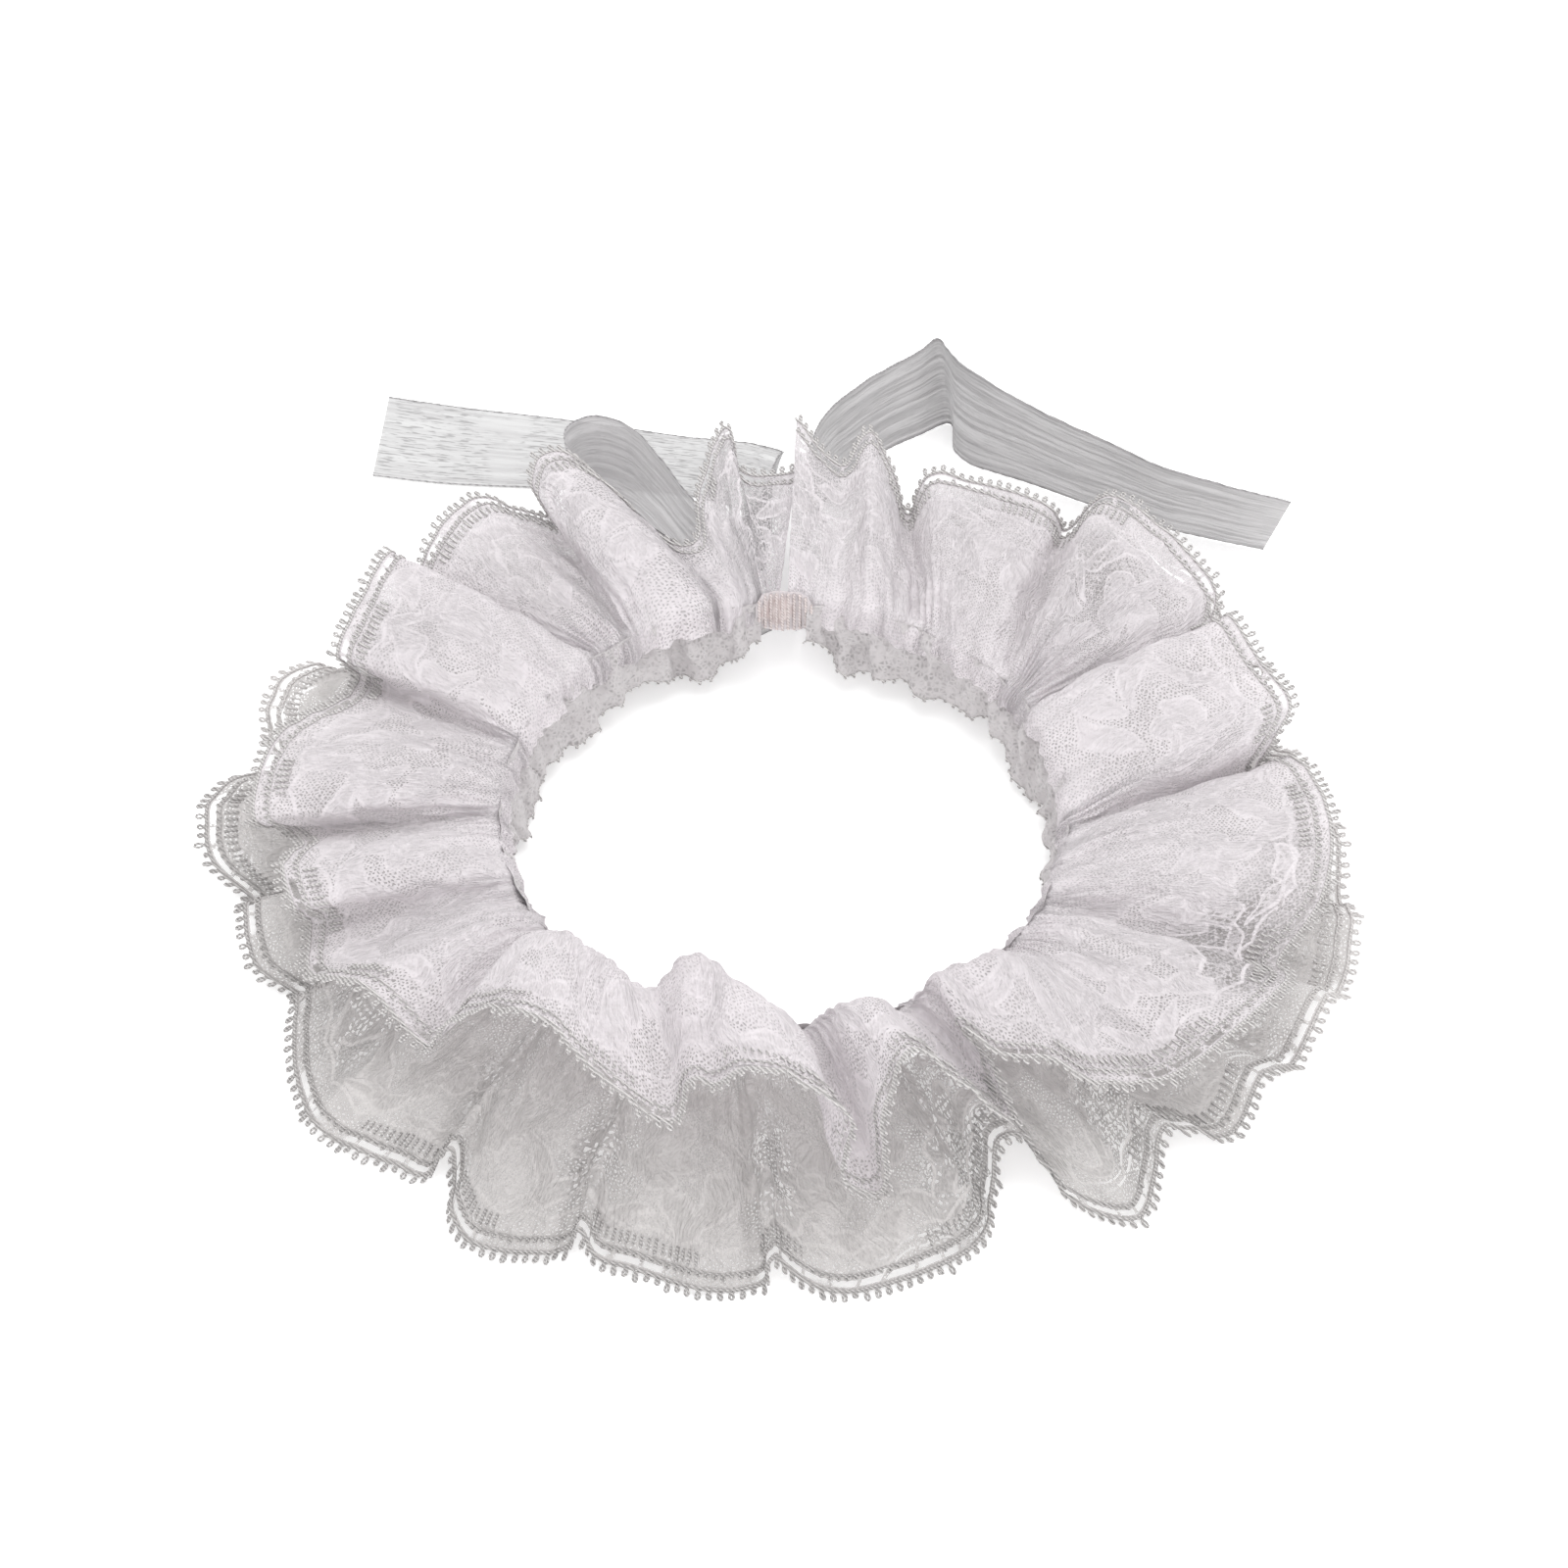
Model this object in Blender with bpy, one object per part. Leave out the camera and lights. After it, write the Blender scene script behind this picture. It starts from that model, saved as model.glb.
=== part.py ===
"""Ruffled lace collar, laid as a ring on a surface with its front towards -Y.

Two pleated tiers of lace are sewn round a neck band, a gathered frill hides the band on the inside, and a
sheer ribbon is sewn to each end of the band at the back. Every piece of cloth is a thin closed wall.
Turns are degrees round the neck, seen from above and counterclockwise from the back closure: 90 is the
left side of the photo, 180 the front, 270 the right. Other sizes are millimetres until mesh_object.
"""

from collections import namedtuple
from math import cos, pi, sqrt

import bpy
import numpy as np

METRES = 0.001

NECK_RADIUS = 59.5
NECK_BACK_REACH = 65.0
SEAM_GAP = 0.3
LACE_WALL = 1.2
RIBBON_WALL = 1.0
RIBBON_SPANS = 1
LEFT_RIBBON_SAMPLES = 84
RIGHT_RIBBON_SAMPLES = 60

BAND_WALL = 1.2
BAND_BOTTOM = 9.0
BAND_TOP = 19.6
BAND_STEPS = 90
BAND_END_TURN = 1.5

UPPER_SEAM_HEIGHT = 22.4
UPPER_LEVELS = (0.0, 0.12, 0.28, 0.5, 0.75, 1.0)
UPPER_SAMPLES = 250
UPPER_BOW_PEAK = 0.33

LOWER_SEAM_HEIGHT = 12.0
LOWER_LEVELS = (0.0, 0.16, 0.33, 0.5, 0.67, 0.84, 1.0)
LOWER_SAMPLES = 230
LOWER_BOW_PEAK = 0.5
LOWER_SEAM_OUTSET = 1.3
NECK_TURN_WEIGHT = 0.6
SPLINE_STEPS = 12
SEAM_WAVE = 0.14
SEAM_WAVE_LIMIT = 1.6

FRILL_TOP = 23.6
FRILL_BOTTOM = 5.0
FRILL_LEAN = 0.6
FRILL_WAVES = 42
FRILL_WAVE = 0.8
FRILL_UNEVEN_WAVES = 5
FRILL_UNEVEN = 1.5
FRILL_LOBES = 11
FRILL_LOBE = 0.8
FRILL_TOP_SHARE = 0.25
FRILL_HEM_WAVES = ((5, 1.8), (13, 1.4))
FRILL_STEPS = 200
FRILL_LEVELS = (0.0, 0.35, 0.7, 1.0)
FRILL_END_TURN = 6.6

CLOSURE_WIDTH = 12.0
CLOSURE_WALL = 1.0
CLOSURE_BOTTOM = 13.0
CLOSURE_TOP = 25.0
CLOSURE_CORNER = 1.6
CLOSURE_PUCKER = 0.45
CLOSURE_PUCKERS = 2
CLOSURE_STEPS = 9
CLOSURE_LEVELS = 4

# One row for each fold line of a tier: the turn where it leaves the neck, the turn, radius and height of its
# outer end, and how far the cloth bows up between its two ends.
Fold = namedtuple("Fold", "neck rim reach height arch")

UPPER_FOLDS = (
    Fold(0.7, 0.2, 103, 26, 1),
    Fold(2.4, 5.0, 101, 26, 1),
    Fold(4.0, 6.8, 111, 31, 1),
    Fold(5.5, 11.5, 95, 27, 1),
    Fold(9.0, 13.5, 83, 24, 1),
    Fold(12.2, 17.0, 84, 23, 0),
    Fold(16.5, 25.0, 115, 29, 3),
    Fold(25.0, 28.4, 116, 29, 4),
    Fold(30.0, 30.5, 111, 26, 2),
    Fold(32.0, 29.0, 110, 17, 0),
    Fold(34.5, 34.0, 121, 19, 0),
    Fold(38.5, 41.0, 117, 21, 1),
    Fold(41.5, 49.5, 110, 15, 0),
    Fold(43.5, 48.5, 115, 25, 2),
    Fold(54.0, 57.0, 109, 27, 4),
    Fold(67.0, 65.6, 105, 25, 2),
    Fold(69.5, 62.5, 104, 15, 0),
    Fold(72.5, 69.0, 101, 19, 0),
    Fold(80.0, 80.0, 109, 24, 3),
    Fold(87.0, 90.6, 110, 21, 2),
    Fold(90.0, 88.0, 105, 13, 0),
    Fold(92.5, 92.5, 100, 17, 0),
    Fold(99.0, 99.0, 104, 23, 3),
    Fold(107.0, 105.0, 103, 21, 2),
    Fold(110.0, 103.0, 100, 13, 0),
    Fold(114.0, 110.5, 103, 13, 1),
    Fold(121.0, 121.0, 97, 24, 4),
    Fold(126.5, 129.5, 92, 16, 4),
    Fold(129.0, 134.0, 90, 29, 8),
    Fold(138.0, 147.0, 88, 43, 13),
    Fold(146.0, 158.0, 90, 34, 14),
    Fold(152.5, 166.5, 91, 29, 12),
    Fold(156.0, 167.5, 86, 33, 15),
    Fold(159.0, 169.0, 86, 36, 21),
    Fold(162.0, 171.0, 87, 36, 24),
    Fold(167.0, 175.0, 88, 43, 19),
    Fold(173.5, 181.5, 89, 42, 12),
    Fold(178.0, 187.5, 92, 33, 9),
    Fold(180.5, 187.0, 96, 18, 7),
    Fold(183.5, 191.0, 96, 14, 6),
    Fold(186.5, 192.5, 91, 35, 9),
    Fold(191.5, 196.5, 87, 44, 9),
    Fold(198.0, 203.7, 88, 29, 6),
    Fold(202.5, 209.8, 90, 17.5, 5),
    Fold(205.0, 209.3, 83, 25, 6),
    Fold(207.0, 206.8, 78, 34, 9),
    Fold(213.0, 210.0, 85, 31, 12),
    Fold(220.0, 214.5, 88, 29, 13),
    Fold(226.0, 222.0, 95, 19, 10),
    Fold(230.0, 229.5, 101, 15, 7),
    Fold(235.0, 238.0, 107, 20, 5),
    Fold(241.0, 247.0, 110, 18, 3),
    Fold(244.5, 252.0, 106, 12, 0),
    Fold(248.5, 258.0, 112, 20, 3),
    Fold(256.5, 267.0, 113, 24, 4),
    Fold(264.0, 279.0, 109, 20, 2),
    Fold(267.0, 281.5, 103, 14, 0),
    Fold(269.0, 280.9, 105, 23, 2),
    Fold(271.5, 283.5, 110, 27, 2),
    Fold(285.0, 291.0, 109, 27, 4),
    Fold(298.0, 298.8, 109, 28, 3),
    Fold(301.0, 302.5, 110, 16, 0),
    Fold(303.5, 306.5, 118, 19, 1),
    Fold(308.0, 322.5, 119, 25, 2),
    Fold(311.0, 325.8, 112, 16, 0),
    Fold(316.0, 327.0, 110, 23, 2),
    Fold(323.0, 334.0, 109, 24, 4),
    Fold(329.5, 342.5, 108, 23, 3),
    Fold(333.0, 344.0, 102, 16, 0),
    Fold(337.5, 346.5, 106, 22, 1),
    Fold(343.0, 350.0, 113, 29, 2),
    Fold(350.0, 352.5, 104, 26, 1),
    Fold(359.3, 358.6, 115, 29, 1),
)

LOWER_FOLDS = (
    Fold(10, 10.5, 73, 6, 0),
    Fold(15, 16.5, 78, 9, 0),
    Fold(20, 22.5, 86, 5, -1),
    Fold(25, 29, 101, 7, 0),
    Fold(30, 35, 118, 1, -1),
    Fold(35, 40, 121, 9, 0),
    Fold(41, 46, 121, 2, -1),
    Fold(47, 52, 120, 9, 0),
    Fold(53, 57, 112, 2, -1),
    Fold(58, 61, 117, 8, 1),
    Fold(63, 65, 122, 9, 1),
    Fold(68, 71, 118, 4, 0),
    Fold(71, 75, 109, 1.5, -1),
    Fold(75, 77.5, 114, 7, 1),
    Fold(80, 82, 122, 10, 1),
    Fold(86, 89, 121, 6, 0),
    Fold(90, 93, 112, 1.5, -1),
    Fold(95, 98, 113, 9, 1),
    Fold(100, 104, 112, 4, 0),
    Fold(104, 108, 105, 1.5, -1),
    Fold(109, 112, 107, 8, 1),
    Fold(114, 118, 112, 2, 1),
    Fold(120, 126, 115, 1.2, 2),
    Fold(127, 135, 109, 1.2, 2),
    Fold(131, 138, 107, 1, 1),
    Fold(134, 139.5, 101, 5, 3),
    Fold(137, 142, 106, 2, 4),
    Fold(142, 147, 114, 1.2, 5),
    Fold(148, 154.5, 110, 1.2, 4),
    Fold(151.5, 156.0, 107.5, 1, 2),
    Fold(154, 157.5, 104.5, 5, 3),
    Fold(157, 160, 107, 2, 4),
    Fold(162, 164, 107, 1.2, 6),
    Fold(168, 172.5, 109, 1.2, 5),
    Fold(172, 177.5, 106.5, 1, 2),
    Fold(174.5, 179.2, 103.5, 6, 3),
    Fold(178, 181.8, 106, 2, 3),
    Fold(183, 186, 109, 1.2, 3),
    Fold(190, 195, 107, 1.2, 4),
    Fold(196, 202, 103, 1.6, 5),
    Fold(199.5, 206, 94, 6, 2),
    Fold(203, 208, 90, 12, 2),
    Fold(207, 211, 92, 12, 2),
    Fold(211, 213, 104, 3, 4),
    Fold(216, 217.5, 114, 1.2, 4),
    Fold(221, 223, 108, 3, 1),
    Fold(225, 226, 105, 8, 2),
    Fold(230, 232, 113, 1.5, 0),
    Fold(235, 238, 113, 9, 2),
    Fold(240, 244, 115, 1, -1),
    Fold(245, 250, 117, 8, 1),
    Fold(250, 256, 119, 1, -1),
    Fold(255, 262, 119, 7, 1),
    Fold(260, 268, 117, 1, -1),
    Fold(265, 273.5, 117, 9, 1),
    Fold(270, 279, 115, 1, -1),
    Fold(275, 285, 114, 8, 1),
    Fold(281, 291, 113, 1.5, -1),
    Fold(287, 297, 118, 9, 1),
    Fold(293, 303, 121, 2, -1),
    Fold(300, 309, 122, 9, 1),
    Fold(307, 315, 122, 1.5, -1),
    Fold(314, 322, 122, 10, 1),
    Fold(321, 329, 121, 2, -1),
    Fold(328, 335, 119, 9, 1),
    Fold(335, 342, 117, 2, -1),
    Fold(342, 347.5, 111, 8, 0),
    Fold(350, 352, 94, 3, 0),
)

# One row for each cross section of a ribbon: the point on its near edge, then on its far edge.
Section = namedtuple("Section", "near_x near_y near_z far_x far_y far_z")

RIGHT_RIBBON = (
    Section(2.6, 65.9, 10.5, 2.6, 65.9, 18.5),
    Section(3.4, 76.0, 3.0, 3.4, 76.0, 18.5),
    Section(4.6, 88.0, 0.3, 4.2, 88.0, 19.0),
    Section(5.2, 102.0, 0.3, 4.2, 102.0, 21.0),
    Section(7.2, 114.0, 0.3, 6.6, 114.5, 24.0),
    Section(11.9, 124.1, 0.3, 11.4, 124.4, 25.3),
    Section(17.1, 131.0, 0.3, 17.1, 131.0, 25.5),
    Section(23.9, 137.4, 0.3, 24.2, 137.0, 25.5),
    Section(31.8, 142.7, 0.3, 31.4, 143.3, 25.5),
    Section(39.0, 147.0, 0.3, 35.7, 147.8, 25.5),
    Section(40.2, 143.0, 0.3, 37.6, 144.6, 25.5),
    Section(39.8, 138.0, 0.3, 40.2, 140.0, 25.5),
    Section(43.4, 132.6, 0.3, 44.7, 134.7, 25.5),
    Section(49.4, 129.4, 0.3, 49.3, 129.6, 25.5),
    Section(57.0, 125.8, 0.3, 56.1, 124.3, 25.5),
    Section(72.4, 117.6, 0.3, 70.5, 113.8, 25.3),
    Section(88.4, 110.0, 0.3, 85.9, 103.5, 24.8),
    Section(109.5, 103.2, 0.3, 113.0, 93.5, 23.6),
)

LEFT_RIBBON = (
    Section(-2.6, 66.2, 10.5, -2.6, 66.2, 18.5),
    Section(-7.5, 71.5, 3.0, -7.5, 71.5, 18.5),
    Section(-15.0, 77.0, 0.3, -15.0, 77.0, 19.0),
    Section(-24.0, 82.5, 0.3, -24.0, 82.5, 22.0),
    Section(-34.5, 90.0, 0.3, -34.5, 90.0, 23.5),
    Section(-42.5, 98.0, 0.3, -43.0, 98.0, 24.5),
    Section(-48.0, 108.0, 0.3, -48.5, 108.5, 25.0),
    Section(-49.0, 116.0, 0.3, -49.4, 116.5, 25.0),
    Section(-44.0, 120.3, 0.3, -44.4, 120.8, 25.0),
    Section(-36.0, 117.5, 0.3, -36.0, 118.0, 25.0),
    Section(-28.0, 107.5, 0.3, -28.0, 108.0, 24.5),
    Section(-21.0, 96.0, 0.3, -21.0, 96.5, 23.0),
    Section(-15.0, 91.0, 0.3, -15.5, 91.5, 21.0),
    Section(-7.5, 93.0, 0.3, -8.5, 93.5, 19.5),
    Section(-3.4, 101.0, 0.3, -4.6, 101.5, 19.5),
    Section(-3.2, 110.0, 0.3, -1.6, 114.5, 18.0),
    Section(-8.5, 116.0, 0.3, -1.0, 127.5, 9.0),
    Section(-17.0, 120.0, 0.3, -9.0, 136.5, 3.5),
    Section(-30.0, 123.2, 0.5, -22.0, 141.0, 1.0),
    Section(-42.0, 123.8, 0.5, -37.0, 145.0, 0.5),
    Section(-60.0, 124.4, 0.5, -58.0, 149.2, 0.5),
    Section(-78.0, 125.6, 0.5, -77.0, 152.4, 0.5),
    Section(-95.7, 128.5, 0.5, -93.7, 156.2, 0.5),
)


def spline(rows, count, weights):
    """Rows read as points of a smooth curve, centripetal Catmull-Rom, at count even steps along it."""
    points = np.array(rows, float)
    points = np.vstack([2 * points[0] - points[1], points, 2 * points[-1] - points[-2]])
    steps = np.sqrt(np.linalg.norm(np.diff(points, axis=0) * weights, axis=1))
    knots = np.concatenate([[0.0], np.cumsum(np.maximum(steps, 1e-6))])
    fine = []
    for k in range(1, len(points) - 2):
        t0, t1, t2, t3 = knots[k - 1 : k + 3]
        p0, p1, p2, p3 = points[k - 1 : k + 3]
        last = k == len(points) - 3
        for t in np.linspace(t1, t2, SPLINE_STEPS + 1)[: SPLINE_STEPS + last]:
            a1 = (t1 - t) / (t1 - t0) * p0 + (t - t0) / (t1 - t0) * p1
            a2 = (t2 - t) / (t2 - t1) * p1 + (t - t1) / (t2 - t1) * p2
            a3 = (t3 - t) / (t3 - t2) * p2 + (t - t2) / (t3 - t2) * p3
            b1 = (t2 - t) / (t2 - t0) * a1 + (t - t0) / (t2 - t0) * a2
            b2 = (t3 - t) / (t3 - t1) * a2 + (t - t1) / (t3 - t1) * a3
            fine.append((t2 - t) / (t2 - t1) * b1 + (t - t1) / (t2 - t1) * b2)
    fine = np.array(fine)
    along = np.linalg.norm(np.diff(fine, axis=0) * weights, axis=1)
    along = np.concatenate([[0.0], np.cumsum(along)])
    even = np.linspace(0.0, along[-1], count)
    return np.stack([np.interp(even, along, column) for column in fine.T], axis=1)


def polar(turn, radius, height):
    """Points at a turn round the neck, from the back closure."""
    angle = np.radians(turn) + pi / 2
    return np.stack([radius * np.cos(angle), radius * np.sin(angle), height + 0 * angle], axis=-1)


def neck_radius(turn):
    """Radius of the neck seam. The ring is a little longer towards the back."""
    return NECK_RADIUS + (NECK_BACK_REACH - NECK_RADIUS) * ((1 + np.cos(np.radians(turn))) / 2) ** 2


def bow(share, peak):
    """A curve from 0 at the neck through 1 at the peak to 0 at the rim."""
    fall = (1 - peak) / peak
    return share * (1 - share) ** fall / (peak * (1 - peak) ** fall)


def tier_surface(folds, samples, levels, seam_height, seam_outset, bow_peak):
    """Middle of a pleated tier as a grid of points: samples round the ring, levels from neck to rim."""
    middle = sum(fold.height for fold in folds) / len(folds)
    rows = []
    for fold in folds:
        rim = polar(fold.rim, fold.reach, fold.height)
        rows.append((*rim, fold.neck, fold.arch, SEAM_WAVE * (fold.height - middle)))
    table = spline(rows, samples, np.array([1, 1, 1, NECK_TURN_WEIGHT, 0, 0]))
    rim = table[:, :3]
    neck = polar(table[:, 3], neck_radius(table[:, 3]) + seam_outset, 0.0)
    neck[:, 2] = seam_height + np.clip(table[:, 5], -SEAM_WAVE_LIMIT, SEAM_WAVE_LIMIT)
    share = np.array(levels)[None, :, None]
    grid = neck[:, None] * (1 - share) + rim[:, None] * share
    grid[:, :, 2] += table[:, 4, None] * bow(share[:, :, 0], bow_peak)
    grid[:, :, 2] = np.maximum(grid[:, :, 2], LACE_WALL / 2)
    return grid


def frill_surface():
    """Middle of the gathered frill inside the neck: waves that grow downwards, over an uneven hem."""
    turn = np.linspace(FRILL_END_TURN, 360 - FRILL_END_TURN, FRILL_STEPS)
    angle = np.radians(turn)
    hem = FRILL_BOTTOM + sum(size * np.sin(count * angle + count) for count, size in FRILL_HEM_WAVES)
    uneven = FRILL_UNEVEN * np.sin(FRILL_UNEVEN_WAVES * angle)
    wave = FRILL_WAVE * (1 + np.sin(FRILL_WAVES * angle + uneven))
    lobes = FRILL_LOBE * (1 + np.sin(FRILL_LOBES * angle))
    columns = []
    for level in FRILL_LEVELS:
        radius = neck_radius(turn) - BAND_WALL - SEAM_GAP - FRILL_LEAN * level
        radius -= wave * (FRILL_TOP_SHARE + (1 - FRILL_TOP_SHARE) * level) + lobes * level
        columns.append(polar(turn, radius, FRILL_TOP + (hem - FRILL_TOP) * level))
    return np.stack(columns, axis=1)


def band_surface():
    """Middle of the neck band that the tiers, the frill and the ribbons are sewn to."""
    turn = np.linspace(BAND_END_TURN, 360 - BAND_END_TURN, BAND_STEPS)
    return np.stack([polar(turn, neck_radius(turn), level) for level in (BAND_BOTTOM, BAND_TOP)], axis=1)


def closure_surface():
    """Middle of the sewn patch over the two ends of the band: puckered, with rounded corners."""
    outside = neck_radius(0.0) - BAND_WALL / 2 - SEAM_GAP - CLOSURE_WALL / 2
    rows = []
    for x in np.linspace(-CLOSURE_WIDTH / 2, CLOSURE_WIDTH / 2, CLOSURE_STEPS):
        corner_trim = CLOSURE_CORNER * (2 * x / CLOSURE_WIDTH) ** 2
        heights = np.linspace(CLOSURE_BOTTOM + corner_trim, CLOSURE_TOP - corner_trim, CLOSURE_LEVELS)
        bulge = np.sin(np.linspace(0.0, pi, CLOSURE_LEVELS))
        pucker = CLOSURE_PUCKER * (1 + cos(CLOSURE_PUCKERS * 2 * pi * x / CLOSURE_WIDTH)) * bulge
        depth = sqrt(outside**2 - x**2) - pucker
        rows.append(np.stack([np.full(CLOSURE_LEVELS, x), depth, heights], axis=1))
    return np.array(rows)


def ribbon_surface(sections, samples, spans):
    """Middle of a ribbon as a grid of points, samples along it by spans + 1 across."""
    table = spline(sections, samples, np.ones(6))
    share = np.linspace(0.0, 1.0, spans + 1)[None, :, None]
    return table[:, None, :3] * (1 - share) + table[:, None, 3:] * share


def normals_of(grid):
    """Unit normals at the points of a grid."""
    along = np.gradient(grid, axis=0)
    across = np.gradient(grid, axis=1)
    normal = np.cross(along, across)
    return normal / np.linalg.norm(normal, axis=2, keepdims=True)


def wall_mesh(grid, wall):
    """Vertices and faces of the closed wall on both sides of a grid, flat where it meets the surface."""
    rows, columns = grid.shape[:2]
    offset = normals_of(grid) * wall / 2
    vertices = np.concatenate([(grid + offset).reshape(-1, 3), (grid - offset).reshape(-1, 3)])
    vertices[:, 2] = np.maximum(vertices[:, 2], 0.0)

    def corner(side, row, column):
        return side * rows * columns + row * columns + column

    faces = []
    for row in range(rows - 1):
        for column in range(columns - 1):
            here, below = (row, column), (row + 1, column)
            beside, across = (row, column + 1), (row + 1, column + 1)
            for triangle in ((here, below, across), (here, across, beside)):
                faces.append([corner(0, *at) for at in triangle])
                faces.append([corner(1, *at) for at in reversed(triangle)])
    border = [(row, 0) for row in range(rows)]
    border += [(rows - 1, column) for column in range(1, columns)]
    border += [(row, columns - 1) for row in range(rows - 2, -1, -1)]
    border += [(0, column) for column in range(columns - 2, 0, -1)]
    for start, end in zip(border, border[1:] + border[:1]):
        faces.append([corner(0, *end), corner(0, *start), corner(1, *start), corner(1, *end)])
    return vertices, faces


def cloth_material(name, colour, roughness):
    material = bpy.data.materials.new(name)
    material.use_nodes = True
    shader = material.node_tree.nodes["Principled BSDF"]
    shader.inputs["Base Color"].default_value = (*colour, 1.0)
    shader.inputs["Roughness"].default_value = roughness
    shader.inputs["Metallic"].default_value = 0.0
    return material


def mesh_object(name, vertices, faces, material):
    mesh = bpy.data.meshes.new(name)
    mesh.from_pydata([tuple(point) for point in vertices * METRES], [], faces)
    mesh.update()
    for polygon in mesh.polygons:
        polygon.use_smooth = True
    mesh.materials.append(material)
    made = bpy.data.objects.new(name, mesh)
    bpy.context.scene.collection.objects.link(made)
    return made


def pieces():
    """Name, vertices, faces and kind of cloth of each piece, about the middle of the neck ring."""
    upper = tier_surface(
        UPPER_FOLDS, UPPER_SAMPLES, UPPER_LEVELS, UPPER_SEAM_HEIGHT, 0.0, UPPER_BOW_PEAK
    )
    lower = tier_surface(
        LOWER_FOLDS, LOWER_SAMPLES, LOWER_LEVELS, LOWER_SEAM_HEIGHT, LOWER_SEAM_OUTSET, LOWER_BOW_PEAK
    )
    left = ribbon_surface(LEFT_RIBBON, LEFT_RIBBON_SAMPLES, RIBBON_SPANS)
    right = ribbon_surface(RIGHT_RIBBON, RIGHT_RIBBON_SAMPLES, RIBBON_SPANS)
    return (
        ("upper_ruffle", *wall_mesh(upper, LACE_WALL), "lace"),
        ("lower_ruffle", *wall_mesh(lower, LACE_WALL), "lace"),
        ("inner_frill", *wall_mesh(frill_surface()[::-1], LACE_WALL), "lace"),
        ("neck_band", *wall_mesh(band_surface(), BAND_WALL), "band"),
        ("closure_patch", *wall_mesh(closure_surface(), CLOSURE_WALL), "closure"),
        ("ribbon_left", *wall_mesh(left, RIBBON_WALL), "ribbon"),
        ("ribbon_right", *wall_mesh(right, RIBBON_WALL), "ribbon"),
    )


def main():
    for old in list(bpy.data.objects):
        bpy.data.objects.remove(old, do_unlink=True)
    cloths = {
        "lace": cloth_material("lace", (0.80, 0.78, 0.78), 0.85),
        "band": cloth_material("band", (0.72, 0.70, 0.70), 0.8),
        "closure": cloth_material("closure", (0.82, 0.74, 0.72), 0.8),
        "ribbon": cloth_material("ribbon", (0.60, 0.60, 0.61), 0.5),
    }
    made = pieces()
    every = np.concatenate([vertices for _, vertices, _, _ in made])
    low, high = every.min(axis=0), every.max(axis=0)
    origin = np.array([(low[0] + high[0]) / 2, (low[1] + high[1]) / 2, low[2]])
    for name, vertices, faces, cloth in made:
        mesh_object(name, vertices - origin, faces, cloths[cloth])


main()
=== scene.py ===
"""Looks of a ruffled lace collar that lies as a ring on a pale surface, front towards -Y.

Two pleated lace tiers, a crumpled frill inside the neck, the tape that they are sewn to, a darned closure and
two sheer ties. The cloth follows the same folds as the solids, cut finer, and gets its gathers, net, motifs,
corded hem, picots and stitches here. Turns are degrees round the neck, seen from above and counterclockwise
from the back closure: 90 is the left side, 180 the front. Sizes in the fold tables are millimetres.
"""

from collections import namedtuple
from math import pi, radians

import bpy
import numpy as np
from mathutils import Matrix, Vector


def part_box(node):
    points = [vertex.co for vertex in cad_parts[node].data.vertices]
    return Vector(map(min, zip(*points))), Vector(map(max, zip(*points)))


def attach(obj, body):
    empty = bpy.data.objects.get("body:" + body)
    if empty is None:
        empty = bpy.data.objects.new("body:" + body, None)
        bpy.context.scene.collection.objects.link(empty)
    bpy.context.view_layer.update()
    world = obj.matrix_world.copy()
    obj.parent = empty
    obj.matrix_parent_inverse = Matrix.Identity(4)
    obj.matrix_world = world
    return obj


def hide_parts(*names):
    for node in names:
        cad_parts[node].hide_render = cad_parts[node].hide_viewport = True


bl_info = {
    "name": "Ruffled lace collar",
    "version": (1, 0, 0),
    "blender": (4, 5, 0),
    "location": "3D View > Sidebar > Collar",
    "description": "Makes the cloth, edgings, ties and stage of a ruffled lace collar",
    "category": "Object",
}

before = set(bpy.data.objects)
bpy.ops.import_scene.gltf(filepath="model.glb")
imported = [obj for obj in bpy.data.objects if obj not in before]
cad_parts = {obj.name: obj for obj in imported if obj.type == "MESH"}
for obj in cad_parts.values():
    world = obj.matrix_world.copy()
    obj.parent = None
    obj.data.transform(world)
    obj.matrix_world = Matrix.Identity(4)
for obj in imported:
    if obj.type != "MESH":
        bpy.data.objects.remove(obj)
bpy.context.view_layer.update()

MM = 0.001
LEFT_TIE_END = 156.2
NECK_CENTRE = np.array(
    [
        (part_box("neck_band")[0].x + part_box("neck_band")[1].x) / 2,
        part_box("ribbon_left")[1].y - LEFT_TIE_END * MM,
        0.0,
    ]
)

NECK_RADIUS = 59.5
NECK_BACK_REACH = 65.0
UPPER_SEAM_HEIGHT = 22.4
UPPER_BOW_PEAK = 0.33
LOWER_SEAM_HEIGHT = 12.0
LOWER_SEAM_OUTSET = 1.3
LOWER_BOW_PEAK = 0.5
NECK_TURN_WEIGHT = 0.6
SPLINE_STEPS = 12
SEAM_WAVE = 0.14
SEAM_WAVE_LIMIT = 1.6
LOWEST_CLOTH = 0.6

# One row for each fold line of a tier: the turn where it leaves the neck, the turn, radius and height of its
# outer end, and how far the cloth bows up between its two ends.
Fold = namedtuple("Fold", "neck rim reach height arch")

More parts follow.
